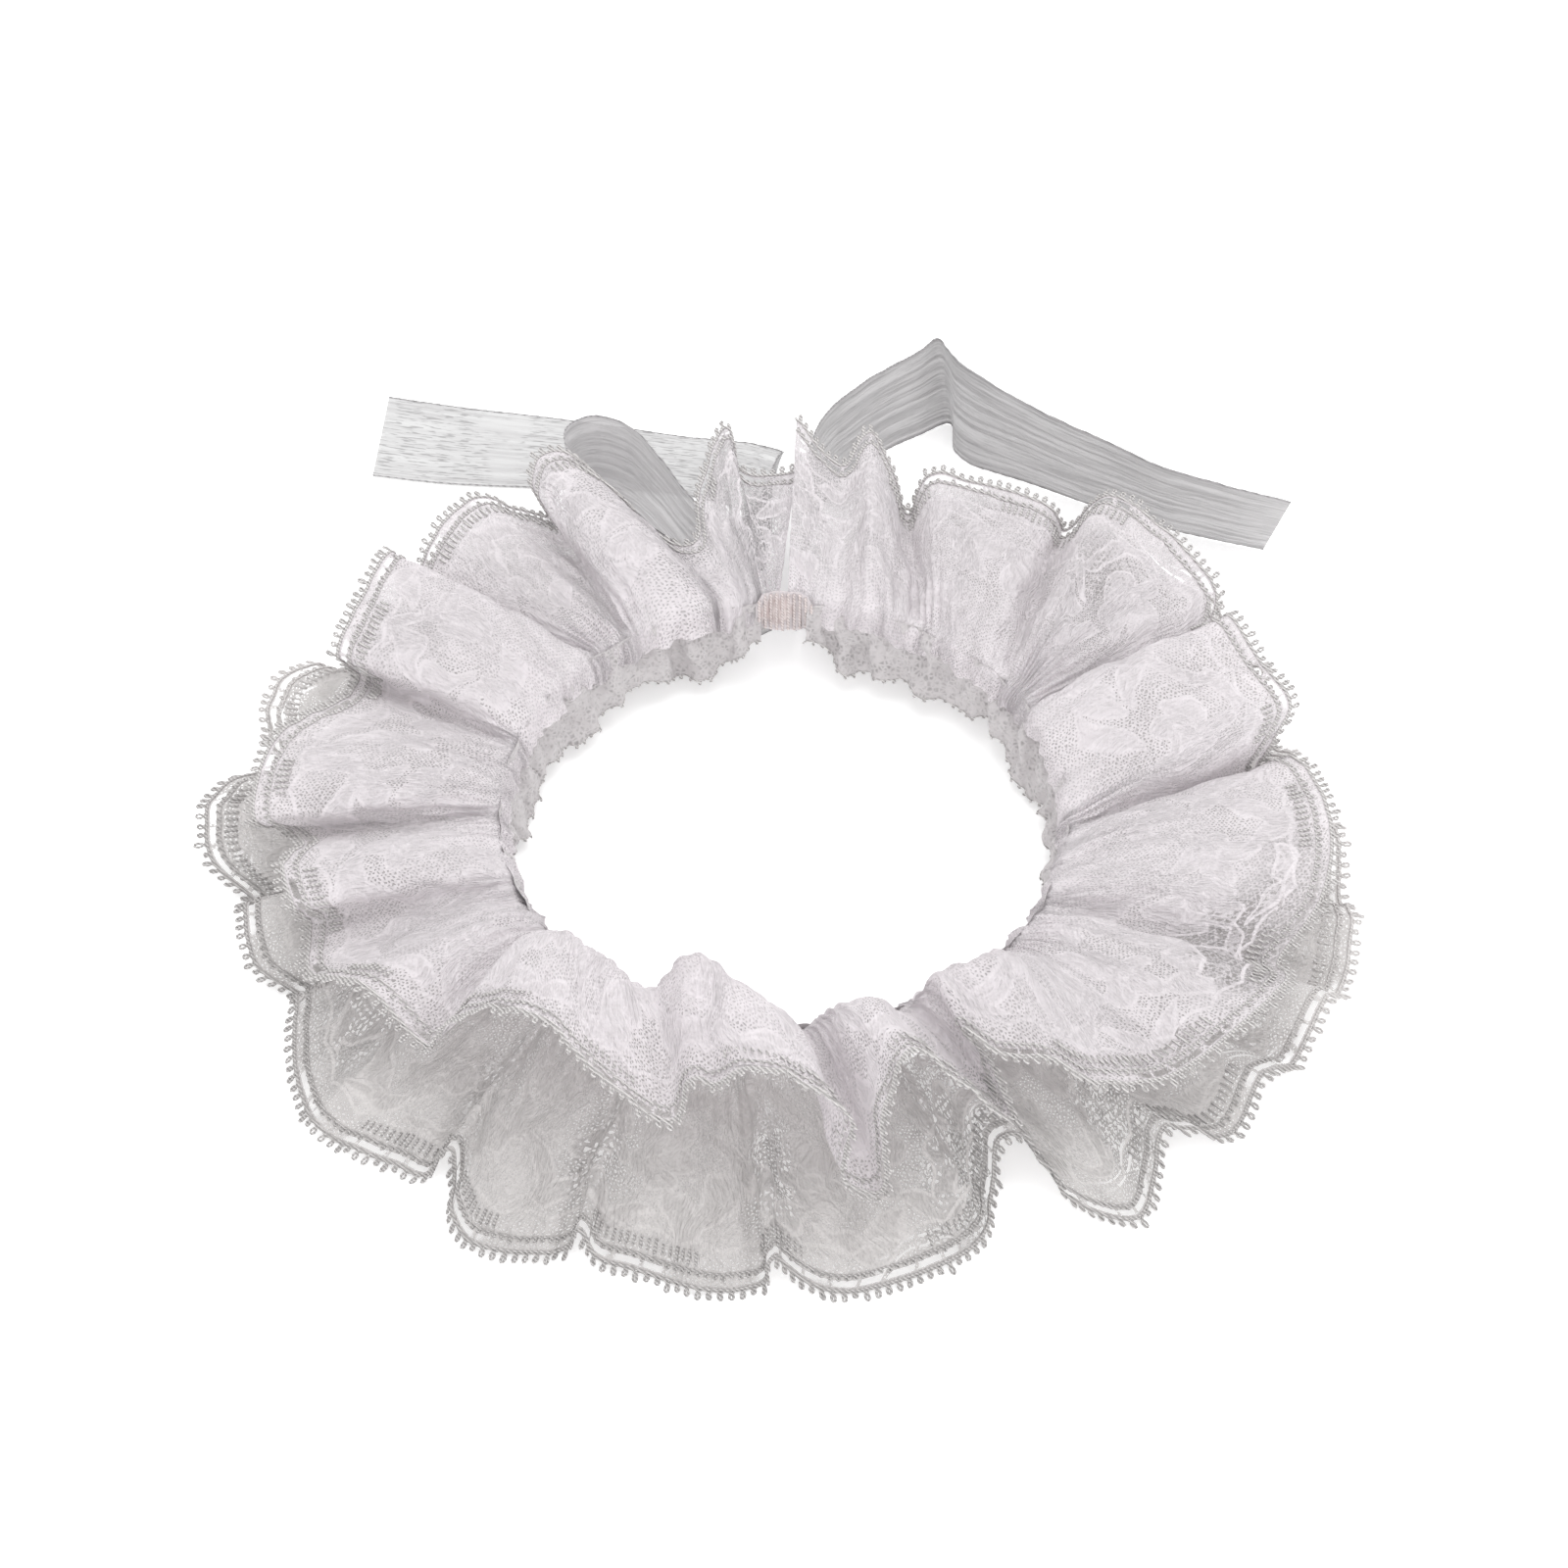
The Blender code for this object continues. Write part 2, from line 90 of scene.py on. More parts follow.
UPPER_FOLDS = [Fold(*row) for row in (
    (0.7, -1.5, 103, 24, 1), (2.4, 5.0, 101, 26, 1), (4.0, 6.8, 111, 31, 1), (5.5, 11.5, 95, 27, 1),
    (9.0, 13.5, 83, 24, 1), (12.2, 17.0, 84, 23, 0), (16.5, 25.0, 115, 29, 3), (25.0, 28.4, 116, 29, 4),
    (30.0, 30.5, 111, 26, 2), (32.0, 29.0, 110, 17, 0), (34.5, 34.0, 121, 19, 0), (38.5, 41.0, 117, 21, 1),
    (41.5, 49.5, 110, 15, 0), (43.5, 48.5, 115, 25, 2), (54.0, 57.0, 109, 27, 4), (67.0, 65.6, 105, 25, 2),
    (69.5, 62.5, 104, 15, 0), (72.5, 69.0, 101, 19, 0), (80.0, 80.0, 109, 24, 3), (87.0, 90.6, 110, 21, 2),
    (90.0, 88.0, 105, 13, 0), (92.5, 92.5, 100, 17, 0), (99.0, 99.0, 104, 23, 3), (107.0, 105.0, 103, 21, 2),
    (110.0, 103.0, 100, 13, 0), (114.0, 110.5, 103, 13, 1), (121.0, 121.0, 97, 24, 4), (126.5, 129.5, 92, 16, 4),
    (129.0, 134.0, 90, 29, 8), (138.0, 147.0, 88, 43, 13), (146.0, 158.0, 90, 34, 14), (152.5, 166.5, 91, 29, 12),
    (156.0, 167.5, 86, 33, 15), (159.0, 169.0, 86, 36, 21), (162.0, 171.0, 87, 36, 24),
    (167.0, 175.0, 88, 43, 19), (173.5, 181.5, 89, 42, 12), (178.0, 187.5, 92, 33, 9), (180.5, 187.0, 96, 18, 7),
    (183.5, 191.0, 96, 14, 6), (186.5, 192.5, 91, 35, 9), (191.5, 196.5, 87, 44, 9), (198.0, 203.7, 88, 29, 6),
    (202.5, 209.8, 90, 17.5, 5), (205.0, 209.3, 83, 25, 6), (207.0, 206.8, 78, 34, 9), (213.0, 210.0, 85, 31, 12),
    (220.0, 214.5, 88, 29, 13), (226.0, 222.0, 95, 19, 10), (230.0, 229.5, 101, 15, 7),
    (235.0, 238.0, 107, 20, 5), (241.0, 247.0, 110, 18, 3), (244.5, 252.0, 106, 12, 0),
    (248.5, 258.0, 112, 20, 3), (256.5, 267.0, 113, 24, 4), (264.0, 279.0, 109, 20, 2),
    (267.0, 281.5, 103, 14, 0), (269.0, 280.9, 105, 23, 2), (271.5, 283.5, 110, 27, 2),
    (285.0, 291.0, 109, 27, 4), (298.0, 298.8, 109, 28, 3), (301.0, 302.5, 110, 16, 0),
    (303.5, 306.5, 118, 19, 1), (308.0, 322.5, 119, 25, 2), (311.0, 325.8, 112, 16, 0),
    (316.0, 327.0, 110, 23, 2), (323.0, 334.0, 109, 24, 4), (329.5, 342.5, 108, 23, 3),
    (333.0, 344.0, 102, 16, 0), (337.5, 346.5, 106, 22, 1), (343.0, 350.0, 113, 29, 2),
    (350.0, 352.5, 104, 26, 1), (359.3, 358.6, 115, 29, 1),
)]

LOWER_FOLDS = [Fold(*row) for row in (
    (10, 10.5, 73, 6, 0), (15, 16.5, 78, 9, 0), (20, 22.5, 86, 5, -1), (25, 29, 101, 7, 0), (30, 35, 118, 1, -1),
    (35, 40, 121, 9, 0), (41, 46, 121, 2, -1), (47, 52, 120, 9, 0), (53, 57, 112, 2, -1), (58, 61, 117, 8, 1),
    (63, 65, 122, 9, 1), (68, 71, 118, 4, 0), (71, 75, 109, 1.5, -1), (75, 77.5, 114, 7, 1), (80, 82, 122, 10, 1),
    (86, 89, 121, 6, 0), (90, 93, 112, 1.5, -1), (95, 98, 113, 9, 1), (100, 104, 112, 4, 0),
    (104, 108, 105, 1.5, -1), (109, 112, 107, 8, 1), (114, 118, 112, 2, 1), (120, 126, 115, 1.2, 2),
    (127, 135, 109, 1.2, 2), (131, 138, 107, 1, 1), (134, 139.5, 101, 5, 3), (137, 142, 106, 2, 4),
    (142, 147, 114, 1.2, 5), (148, 154.5, 110, 1.2, 4), (151.5, 156.0, 107.5, 1, 2), (154, 157.5, 104.5, 5, 3),
    (157, 160, 107, 2, 4), (162, 164, 107, 1.2, 6), (168, 172.5, 109, 1.2, 5), (172, 177.5, 106.5, 1, 2),
    (174.5, 179.2, 103.5, 6, 3), (178, 181.8, 106, 2, 3), (183, 186, 109, 1.2, 3), (190, 195, 107, 1.2, 4),
    (196, 202, 103, 1.6, 5), (199.5, 206, 94, 6, 2), (203, 208, 90, 12, 2), (207, 211, 92, 12, 2),
    (211, 213, 104, 3, 4), (216, 217.5, 114, 1.2, 4), (221, 223, 108, 3, 1), (225, 226, 105, 8, 2),
    (230, 232, 113, 1.5, 0), (235, 238, 113, 9, 2), (240, 244, 115, 1, -1), (245, 250, 117, 8, 1),
    (250, 256, 119, 1, -1), (255, 262, 119, 7, 1), (260, 268, 117, 1, -1), (265, 273.5, 117, 9, 1),
    (270, 279, 115, 1, -1), (275, 285, 114, 8, 1), (281, 291, 113, 1.5, -1), (287, 297, 118, 9, 1),
    (293, 303, 121, 2, -1), (300, 309, 122, 9, 1), (307, 315, 122, 1.5, -1), (314, 322, 122, 10, 1),
    (321, 329, 121, 2, -1), (328, 335, 119, 9, 1), (335, 342, 117, 2, -1), (342, 347.5, 111, 8, 0),
    (350, 352, 94, 3, 0),
)]

# One row for each cross section of a ribbon: the point on its near edge, then on its far edge.
Section = namedtuple("Section", "near_x near_y near_z far_x far_y far_z")

RIGHT_RIBBON = [Section(*row) for row in (
    (2.6, 65.9, 10.5, 2.6, 65.9, 18.5), (3.4, 76.0, 3.0, 3.4, 76.0, 18.5), (4.6, 88.0, 0.3, 4.2, 88.0, 19.0),
    (5.2, 102.0, 0.3, 4.2, 102.0, 21.0), (7.2, 114.0, 0.3, 6.6, 114.5, 24.0),
    (11.9, 124.1, 0.3, 11.4, 124.4, 25.3), (17.1, 131.0, 0.3, 17.1, 131.0, 25.5),
    (23.9, 137.4, 0.3, 24.2, 137.0, 25.5), (31.8, 142.7, 0.3, 31.4, 143.3, 25.5),
    (39.0, 147.0, 0.3, 35.7, 147.8, 25.5), (40.2, 143.0, 0.3, 37.6, 144.6, 25.5),
    (39.8, 138.0, 0.3, 40.2, 140.0, 25.5), (43.4, 132.6, 0.3, 44.7, 134.7, 25.5),
    (49.4, 129.4, 0.3, 49.3, 129.6, 25.5), (57.0, 125.8, 0.3, 56.1, 124.3, 25.5),
    (72.4, 117.6, 0.3, 70.5, 113.8, 25.3), (88.4, 110.0, 0.3, 85.9, 103.5, 24.8),
    (109.5, 103.2, 0.3, 113.0, 93.5, 23.6),
)]

LEFT_RIBBON = [Section(*row) for row in (
    (-2.6, 66.2, 10.5, -2.6, 66.2, 18.5), (-7.5, 71.5, 3.0, -7.5, 71.5, 18.5),
    (-15.0, 77.0, 0.3, -15.0, 77.0, 19.0), (-24.0, 82.5, 0.3, -24.0, 82.5, 22.0),
    (-34.5, 90.0, 0.3, -34.5, 90.0, 23.5), (-42.5, 98.0, 0.3, -43.0, 98.0, 24.5),
    (-48.0, 108.0, 0.3, -48.5, 108.5, 25.0), (-49.0, 116.0, 0.3, -49.4, 116.5, 25.0),
    (-44.0, 120.3, 0.3, -44.4, 120.8, 25.0), (-36.0, 117.5, 0.3, -36.0, 118.0, 25.0),
    (-28.0, 107.5, 0.3, -28.0, 108.0, 24.5), (-21.0, 96.0, 0.3, -21.0, 96.5, 23.0),
    (-15.0, 91.0, 0.3, -15.5, 91.5, 21.0), (-7.5, 93.0, 0.3, -8.5, 93.5, 19.5),
    (-3.4, 101.0, 0.3, -4.6, 101.5, 19.5), (-3.2, 110.0, 0.3, -1.6, 114.5, 18.0),
    (-8.5, 116.0, 0.3, -1.0, 127.5, 9.0), (-17.0, 120.0, 0.3, -9.0, 136.5, 3.5),
    (-30.0, 123.2, 0.5, -22.0, 141.0, 1.0), (-42.0, 123.8, 0.5, -37.0, 145.0, 0.5),
    (-60.0, 124.4, 0.5, -58.0, 149.2, 0.5), (-78.0, 125.6, 0.5, -77.0, 152.4, 0.5),
    (-95.7, 128.5, 0.5, -93.7, 156.2, 0.5),
)]


def spline(rows, count, weights):
    """Rows read as points of a smooth curve, centripetal Catmull-Rom, at count even steps along it."""
    points = np.array(rows, float)
    points = np.vstack([2 * points[0] - points[1], points, 2 * points[-1] - points[-2]])
    steps = np.sqrt(np.linalg.norm(np.diff(points, axis=0) * weights, axis=1))
    knots = np.concatenate([[0.0], np.cumsum(np.maximum(steps, 1e-6))])
    fine = []
    for k in range(1, len(points) - 2):
        t0, t1, t2, t3 = knots[k - 1 : k + 3]
        p0, p1, p2, p3 = points[k - 1 : k + 3]
        last = k == len(points) - 3
        for t in np.linspace(t1, t2, SPLINE_STEPS + 1)[: SPLINE_STEPS + last]:
            a1 = (t1 - t) / (t1 - t0) * p0 + (t - t0) / (t1 - t0) * p1
            a2 = (t2 - t) / (t2 - t1) * p1 + (t - t1) / (t2 - t1) * p2
            a3 = (t3 - t) / (t3 - t2) * p2 + (t - t2) / (t3 - t2) * p3
            b1 = (t2 - t) / (t2 - t0) * a1 + (t - t0) / (t2 - t0) * a2
            b2 = (t3 - t) / (t3 - t1) * a2 + (t - t1) / (t3 - t1) * a3
            fine.append((t2 - t) / (t2 - t1) * b1 + (t - t1) / (t2 - t1) * b2)
    fine = np.array(fine)
    along = np.linalg.norm(np.diff(fine, axis=0) * weights, axis=1)
    along = np.concatenate([[0.0], np.cumsum(along)])
    even = np.linspace(0.0, along[-1], count)
    return np.stack([np.interp(even, along, column) for column in fine.T], axis=1)


def polar(turn, radius, height):
    """Points at a turn round the neck, from the back closure."""
    angle = np.radians(turn) + pi / 2
    return np.stack([radius * np.cos(angle), radius * np.sin(angle), height + 0 * angle], axis=-1)


def neck_radius(turn):
    """Radius of the neck seam. The ring is a little longer towards the back."""
    return NECK_RADIUS + (NECK_BACK_REACH - NECK_RADIUS) * ((1 + np.cos(np.radians(turn))) / 2) ** 2


def bow(share, peak):
    """A curve from 0 at the neck through 1 at the peak to 0 at the rim."""
    fall = (1 - peak) / peak
    return share * (1 - share) ** fall / (peak * (1 - peak) ** fall)


def tier_surface(folds, samples, levels, seam_height, seam_outset, bow_peak):
    """Middle of a pleated tier as a grid of points: samples round the ring, levels from neck to rim."""
    middle = sum(fold.height for fold in folds) / len(folds)
    rows = []
    for fold in folds:
        rim = polar(fold.rim, fold.reach, fold.height)
        rows.append((*rim, fold.neck, fold.arch, SEAM_WAVE * (fold.height - middle)))
    table = spline(rows, samples, np.array([1, 1, 1, NECK_TURN_WEIGHT, 0, 0]))
    rim = table[:, :3]
    neck = polar(table[:, 3], neck_radius(table[:, 3]) + seam_outset, 0.0)
    neck[:, 2] = seam_height + np.clip(table[:, 5], -SEAM_WAVE_LIMIT, SEAM_WAVE_LIMIT)
    share = np.array(levels)[None, :, None]
    grid = neck[:, None] * (1 - share) + rim[:, None] * share
    grid[:, :, 2] += table[:, 4, None] * bow(share[:, :, 0], bow_peak)
    grid[:, :, 2] = np.maximum(grid[:, :, 2], LOWEST_CLOTH)
    return grid


def cloth_noise(u, w, size, seed):
    """Smooth uneven waves over the cloth, about size mm long and from -1 to 1."""
    rng = np.random.default_rng(seed)
    total = np.zeros(np.broadcast(u, w).shape)
    waves = 7
    for _ in range(waves):
        heading = rng.uniform(0, 2 * pi)
        pace = 2 * pi / (size * rng.uniform(0.7, 1.5))
        total += np.sin(pace * (u * np.cos(heading) + w * np.sin(heading)) + rng.uniform(0, 2 * pi))
    return total / waves**0.5 / 1.5


def lengths_along(grid, axis):
    """Distance walked along one axis of a grid of points, from 0."""
    steps = np.linalg.norm(np.diff(grid, axis=axis), axis=2)
    walked = np.cumsum(steps, axis=axis)
    start = np.zeros_like(walked[:1] if axis == 0 else walked[:, :1])
    return np.concatenate([start, walked], axis=axis)


def normals_of(grid):
    """The way out of the cloth at each point of a grid, one long."""
    normal = np.cross(np.gradient(grid, axis=0), np.gradient(grid, axis=1))
    return normal / np.maximum(np.linalg.norm(normal, axis=2, keepdims=True), 1e-9)


def strip_coordinates(grid):
    """Distance along the strip at its outer edge, and distance in from that edge, for each point of a grid."""
    along = lengths_along(grid[:, -1:], 0)[:, :1] + np.zeros(grid.shape[:2])
    across = lengths_along(grid, 1)
    return along, across[:, -1:] - across


# Cloth and thread lie on the table, never in it: below this height, in mm, they are pressed flatter and flatter.
PRESSED_BELOW = 0.6
LOWEST_SHEET = 0.15
LOWEST_THREAD = 0.5

# Lengths in mm of what makes the cloth uneven, from the small gathers at its seam to its soft crumples and ripples.
GATHER_PITCH = 5.2
GATHER_SWAY = 34
CRUMPLE_LENGTHS = (17, 6.5)
RIPPLE_PITCH = 11.5
RIPPLE_DRIFT = 40
RIPPLE_PATCH = 28


def pressed(height, near):
    """Heights with those below near brought above the table, in the same order."""
    return np.where(height < near, near * np.exp(np.minimum(height / near - 1.0, 0.0)), height)


def crumpled(grid, along, inset, share, gather, crumple, ripple, seed):
    """The grid with the small gathers of its sewn edge and the soft unevenness of the cloth."""
    fade = np.clip(share / 0.1, 0, 1)
    sway = 1.3 * cloth_noise(along, inset, GATHER_SWAY, seed)
    pinch = np.sin(2 * pi * along / GATHER_PITCH + 2.2 * sway) * np.exp(-((share / 0.3) ** 1.5))
    pinch *= np.where(share == 0, 0.4, 1.0)
    broad, fine = (cloth_noise(along, inset, size, seed + 1 + k) for k, size in enumerate(CRUMPLE_LENGTHS))
    lift = gather * pinch * (0.75 + 0.5 * sway) + crumple * (broad + 0.45 * fine) * fade
    turned = 2 * pi * along / RIPPLE_PITCH + 2.6 * cloth_noise(along, inset, RIPPLE_DRIFT, seed + 3)
    strength = np.clip(0.65 + 0.5 * cloth_noise(along, inset, RIPPLE_PATCH, seed + 4), 0.1, 1.2)
    lift = lift + ripple * np.sin(turned) * strength * np.clip(share, 0, 1) ** 0.7
    soft_grid = grid + normals_of(grid) * lift[:, :, None]
    soft_grid[:, :, 2] = pressed(soft_grid[:, :, 2], PRESSED_BELOW)
    return soft_grid


def placed(points):
    """Ring millimetres as metres of the shared frame."""
    return np.asarray(points) * MM + NECK_CENTRE


def plain_object(name, mesh):
    """An object of the scene from a mesh, a lamp or a camera."""
    made = bpy.data.objects.new(name, mesh)
    bpy.context.scene.collection.objects.link(made)
    return made


def cloth_object(name, grid, along, inset, material, face_up, marks=None):
    """One sheet of cloth from a grid of points, its UV map in metres along the strip and in from its edge.

    The marks are numbers for each point that its material reads, by name."""
    rows, columns = grid.shape[:2]
    index = np.arange(rows * columns).reshape(rows, columns)
    quads = [index[:-1, :-1], index[1:, :-1], index[1:, 1:], index[:-1, 1:]]
    if face_up:
        quads = quads[::-1]
    quads = np.stack([corner.reshape(-1) for corner in quads], axis=1)
    grid[:, :, 2] = np.maximum(grid[:, :, 2], LOWEST_SHEET)
    mesh = bpy.data.meshes.new(name)
    mesh.from_pydata(placed(grid).reshape(-1, 3).tolist(), [], quads.tolist())
    flat = np.stack([along, inset], axis=2).reshape(-1, 2) * MM
    mesh.uv_layers.new(name="cloth").data.foreach_set("uv", flat[quads.reshape(-1)].reshape(-1))
    mesh.polygons.foreach_set("use_smooth", np.ones(len(quads), bool))
    for mark, values in (marks or {}).items():
        layer = mesh.attributes.new(mark, "FLOAT", "POINT")
        layer.data.foreach_set("value", np.ascontiguousarray(values, np.float32).reshape(-1))
    mesh.materials.append(material)
    mesh.update()
    return plain_object(name, mesh)


def line_in_cloth(grid, inset, distance, lift=0.0):
    """The line on a tier that runs distance mm in from its edge, and the way outwards in the cloth along it."""
    outward = grid[:, -1] - grid[:, -3]
    outward /= np.linalg.norm(outward, axis=1, keepdims=True)
    points = []
    for row in range(grid.shape[0]):
        from_edge = inset[row, ::-1]
        points.append([np.interp(distance, from_edge, grid[row, ::-1, axis]) for axis in range(3)])
    points = np.array(points) + lift * -normals_of(grid)[:, -2]
    points[:, 2] = np.maximum(points[:, 2], LOWEST_THREAD)
    return points, outward


def path_object(name, points, outward):
    """A polyline that a node tree turns into thread, with the outward way of the cloth kept on its points."""
    mesh = bpy.data.meshes.new(name)
    edges = [(k, k + 1) for k in range(len(points) - 1)]
    mesh.from_pydata(placed(points).tolist(), edges, [])
    way = mesh.attributes.new("outward", "FLOAT_VECTOR", "POINT")
    way.data.foreach_set("vector", np.ascontiguousarray(outward, np.float32).reshape(-1))
    return plain_object(name, mesh)


# The kinds of node that are used most, and the setting of a Map Range that eases from 0 to 1 between its two limits.
# Where the first limit is the greater, it falls from 1 to 0 as the value rises.
MATH, RANGE, MIX = "ShaderNodeMath", "ShaderNodeMapRange", "ShaderNodeMix"
SMOOTH = {"interpolation_type": "SMOOTHSTEP"}


def fill(tree, node, values):
    """Gives inputs of a node their values, by name or by their order among those in use, and links sockets."""
    in_use = [socket for socket in node.inputs if socket.enabled]
    for place, value in values.items():
        socket = in_use[place] if isinstance(place, int) else node.inputs[place]
        if isinstance(value, bpy.types.NodeSocket):
            tree.links.new(value, socket)
        else:
            socket.default_value = value


def add(tree, kind, *values, **settings):
    """Adds a node with its settings and its inputs, in order or from one dict. Gives its first output in use."""
    node = tree.nodes.new(kind)
    for name, value in settings.items():
        setattr(node, name, value)
    fill(tree, node, values[0] if values and isinstance(values[0], dict) else dict(enumerate(values)))
    return next(socket for socket in node.outputs if socket.enabled)


def colour(code):
    """An sRGB hex code as the linear colour that Blender takes."""
    parts = [int(code[at : at + 2], 16) / 255 for at in (1, 3, 5)]
    linear = [c / 12.92 if c <= 0.04045 else ((c + 0.055) / 1.055) ** 2.4 for c in parts]
    return (*linear, 1.0)


def toned(tint, share):
    """A linear colour made lighter or darker by a share, at most white."""
    return (*(min(1.0, part * share) for part in tint[:3]), 1.0)


def new_material(name, tint, roughness, sheen=0.0):
    """A material with one Principled shader, and that shader."""
    material = bpy.data.materials.new(name)
    material.use_nodes = True
    material.diffuse_color = tint
    shader = material.node_tree.nodes["Principled BSDF"]
    shader.inputs["Base Color"].default_value = tint
    shader.inputs["Roughness"].default_value = roughness
    shader.inputs["Sheen Weight"].default_value = sheen
    shader.inputs["Specular IOR Level"].default_value = 0.3
    return material, shader


def wave(tree, distance, pitch):
    """From -1 to 1 and back once in every pitch of the distance."""
    return add(tree, MATH, add(tree, MATH, distance, 2 * pi / pitch, operation="MULTIPLY"), operation="SINE")


def gap_to(tree, distance, place):
    """How far a distance is from a place, on either side of it."""
    return add(tree, MATH, add(tree, MATH, distance, place, operation="SUBTRACT"), operation="ABSOLUTE")


def dress_shader(tree, shader, tone, rough, relief, depth):
    """Gives a shader its colour and roughness, and the relief of its threads, as deep as said in metres."""
    bumps = add(tree, "ShaderNodeBump", {"Height": relief, "Strength": 1.0, "Distance": depth})
    fill(tree, shader, {"Base Color": tone, "Roughness": rough, "Normal": bumps})


def honeycomb(tree, along, inset, cell):
    """The holes of a net, 1 in the middle of each hole: three waves 60 degrees apart."""
    pace = 2 * pi / cell
    first = add(tree, MATH, add(tree, MATH, along, pace, operation="MULTIPLY"), operation="COSINE")
    half = add(tree, MATH, along, pace / 2, operation="MULTIPLY")
    side = add(tree, MATH, inset, pace * 0.75 ** 0.5, operation="MULTIPLY")
    second = add(tree, MATH, add(tree, MATH, half, side, operation="ADD"), operation="COSINE")
    third = add(tree, MATH, add(tree, MATH, half, side, operation="SUBTRACT"), operation="COSINE")
    return add(
        tree, MATH, add(tree, MATH, add(tree, MATH, first, second, operation="ADD"), third, operation="ADD"), 1 / 3,
        operation="MULTIPLY",
    )


def petals(tree, x, y, centre, radius, count, turn):
    """How far inside a flower a point is: above 0 inside its lobed outline, in metres."""
    dx = add(tree, MATH, x, centre[0], operation="SUBTRACT")
    dy = add(tree, MATH, y, centre[1], operation="SUBTRACT")
    angle = add(tree, MATH, add(tree, MATH, dy, dx, operation="ARCTAN2"), count / 2, turn, operation="MULTIPLY_ADD")
    lobe = add(tree, MATH, add(tree, MATH, angle, operation="COSINE"), operation="ABSOLUTE")
    edge = add(tree, MATH, lobe, radius * 0.45, radius * 0.6, operation="MULTIPLY_ADD")
    reach = add(
        tree, MATH,
        add(
            tree, MATH, add(tree, MATH, dx, 2.0, operation="POWER"), add(tree, MATH, dy, 2.0, operation="POWER"),
            operation="ADD",
        ),
        operation="SQRT",
    )
    return add(tree, MATH, edge, reach, operation="SUBTRACT")


def leaf(tree, x, y, centre, size, tilt, bend):
    """How far inside a curved pointed leaf a point is, in metres: above 0 inside."""
    dx = add(tree, MATH, x, centre[0], operation="SUBTRACT")
    dy = add(tree, MATH, y, centre[1], operation="SUBTRACT")
    along = add(
        tree, MATH, add(tree, MATH, dx, np.cos(tilt), operation="MULTIPLY"),
        add(tree, MATH, dy, np.sin(tilt), operation="MULTIPLY"), operation="ADD",
    )
    side = add(
        tree, MATH, add(tree, MATH, dy, np.cos(tilt), operation="MULTIPLY"),
        add(tree, MATH, dx, np.sin(tilt), operation="MULTIPLY"), operation="SUBTRACT",
    )
    share = add(tree, MATH, add(tree, MATH, along, size[0], operation="DIVIDE"), 2.0, operation="POWER")
    side = add(tree, MATH, add(tree, MATH, share, bend, side, operation="MULTIPLY_ADD"), operation="ABSOLUTE")
    edge = add(tree, MATH, add(tree, MATH, 1.0, share, operation="SUBTRACT"), size[1], operation="MULTIPLY")
    return add(tree, MATH, edge, side, operation="SUBTRACT")


# What a layer of net stops of the light of a lamp: a shadow takes this mean, and not each hole of the pattern.
SHADOW_COVER = 0.86


def lit_through(tree, shader, tone, alpha, share):
    """Thin cloth: the given share of its light comes through from the other side, and its holes are clear."""
    through = add(tree, "ShaderNodeBsdfTranslucent", {"Color": tone})
    cloth = add(tree, "ShaderNodeMixShader", share, shader.outputs[0], through)
    clear = add(tree, "ShaderNodeBsdfTransparent")
    holed = add(tree, "ShaderNodeMixShader", alpha, clear, cloth)
    plain = add(tree, "ShaderNodeBsdfTranslucent", {"Color": shader.inputs["Base Color"].default_value[:]})
    veil = add(tree, "ShaderNodeMixShader", SHADOW_COVER, clear, plain)
    to_lamp = add(tree, "ShaderNodeLightPath").node.outputs["Is Shadow Ray"]
    either = add(tree, "ShaderNodeMixShader", to_lamp, holed, veil)
    tree.links.new(either, tree.nodes["Material Output"].inputs["Surface"])


def painted_light_behind(tree):
    """Painted light: 0 at the front left of the collar and 1 from its right side round the back, which is drawn
    lighter than the shaded front.
    """
    place = add(tree, "ShaderNodeTexCoord").node.outputs["Object"]
    x, y = add(tree, "ShaderNodeSeparateXYZ", place).node.outputs[:2]
    skewed = add(tree, MATH, x, 0.35, y, operation="MULTIPLY_ADD")
    return add(tree, RANGE, skewed, -0.065, -0.01, **SMOOTH)


# The motifs of the lace over one repeat, in metres: flowers as their middle, radius, petals and turn, and leaves as
# their middle, half length and half width, tilt in radians and bend.
FLOWERS = (((-0.007, 0.024), 0.0085, 5, 0.6), ((0.011, 0.036), 0.0052, 3, 1.2))
FLOWER_HEART = ((-0.007, 0.024), 0.0030, 5, 0.2)
LEAVES = (
    ((0.0075, 0.017), (0.0095, 0.0030), 0.9, 0.002),
    ((0.0010, 0.0115), (0.0085, 0.0024), -0.35, -0.002),
    ((0.0010, 0.0400), (0.0090, 0.0030), 0.35, 0.002),
    ((0.0130, 0.0260), (0.0075, 0.0026), 2.3, -0.0015),
    ((-0.0120, 0.0090), (0.0070, 0.0022), 0.5, 0.001),
)
# The border of the lace, in metres: its scalloped cord, its rows of slots and the closer bands between them.
SCALLOP_PITCH = 0.0215
SCALLOP_INSET, SCALLOP_DEPTH = 0.0072, 0.0016
BORDER_EDGE, BORDER_ROW = 0.0009, 0.0030
SLOT_PITCH = 0.0056
FIRST_SLOT_ROW = 0.0016
LATER_SLOT_ROWS = ((0.0047, 0.0005), (0.0071, 0.0004))
CLOTHWORK_PITCH = 0.0009
WEAVE_PITCH = 0.0010
RIBBON_WIDTH = 25.0


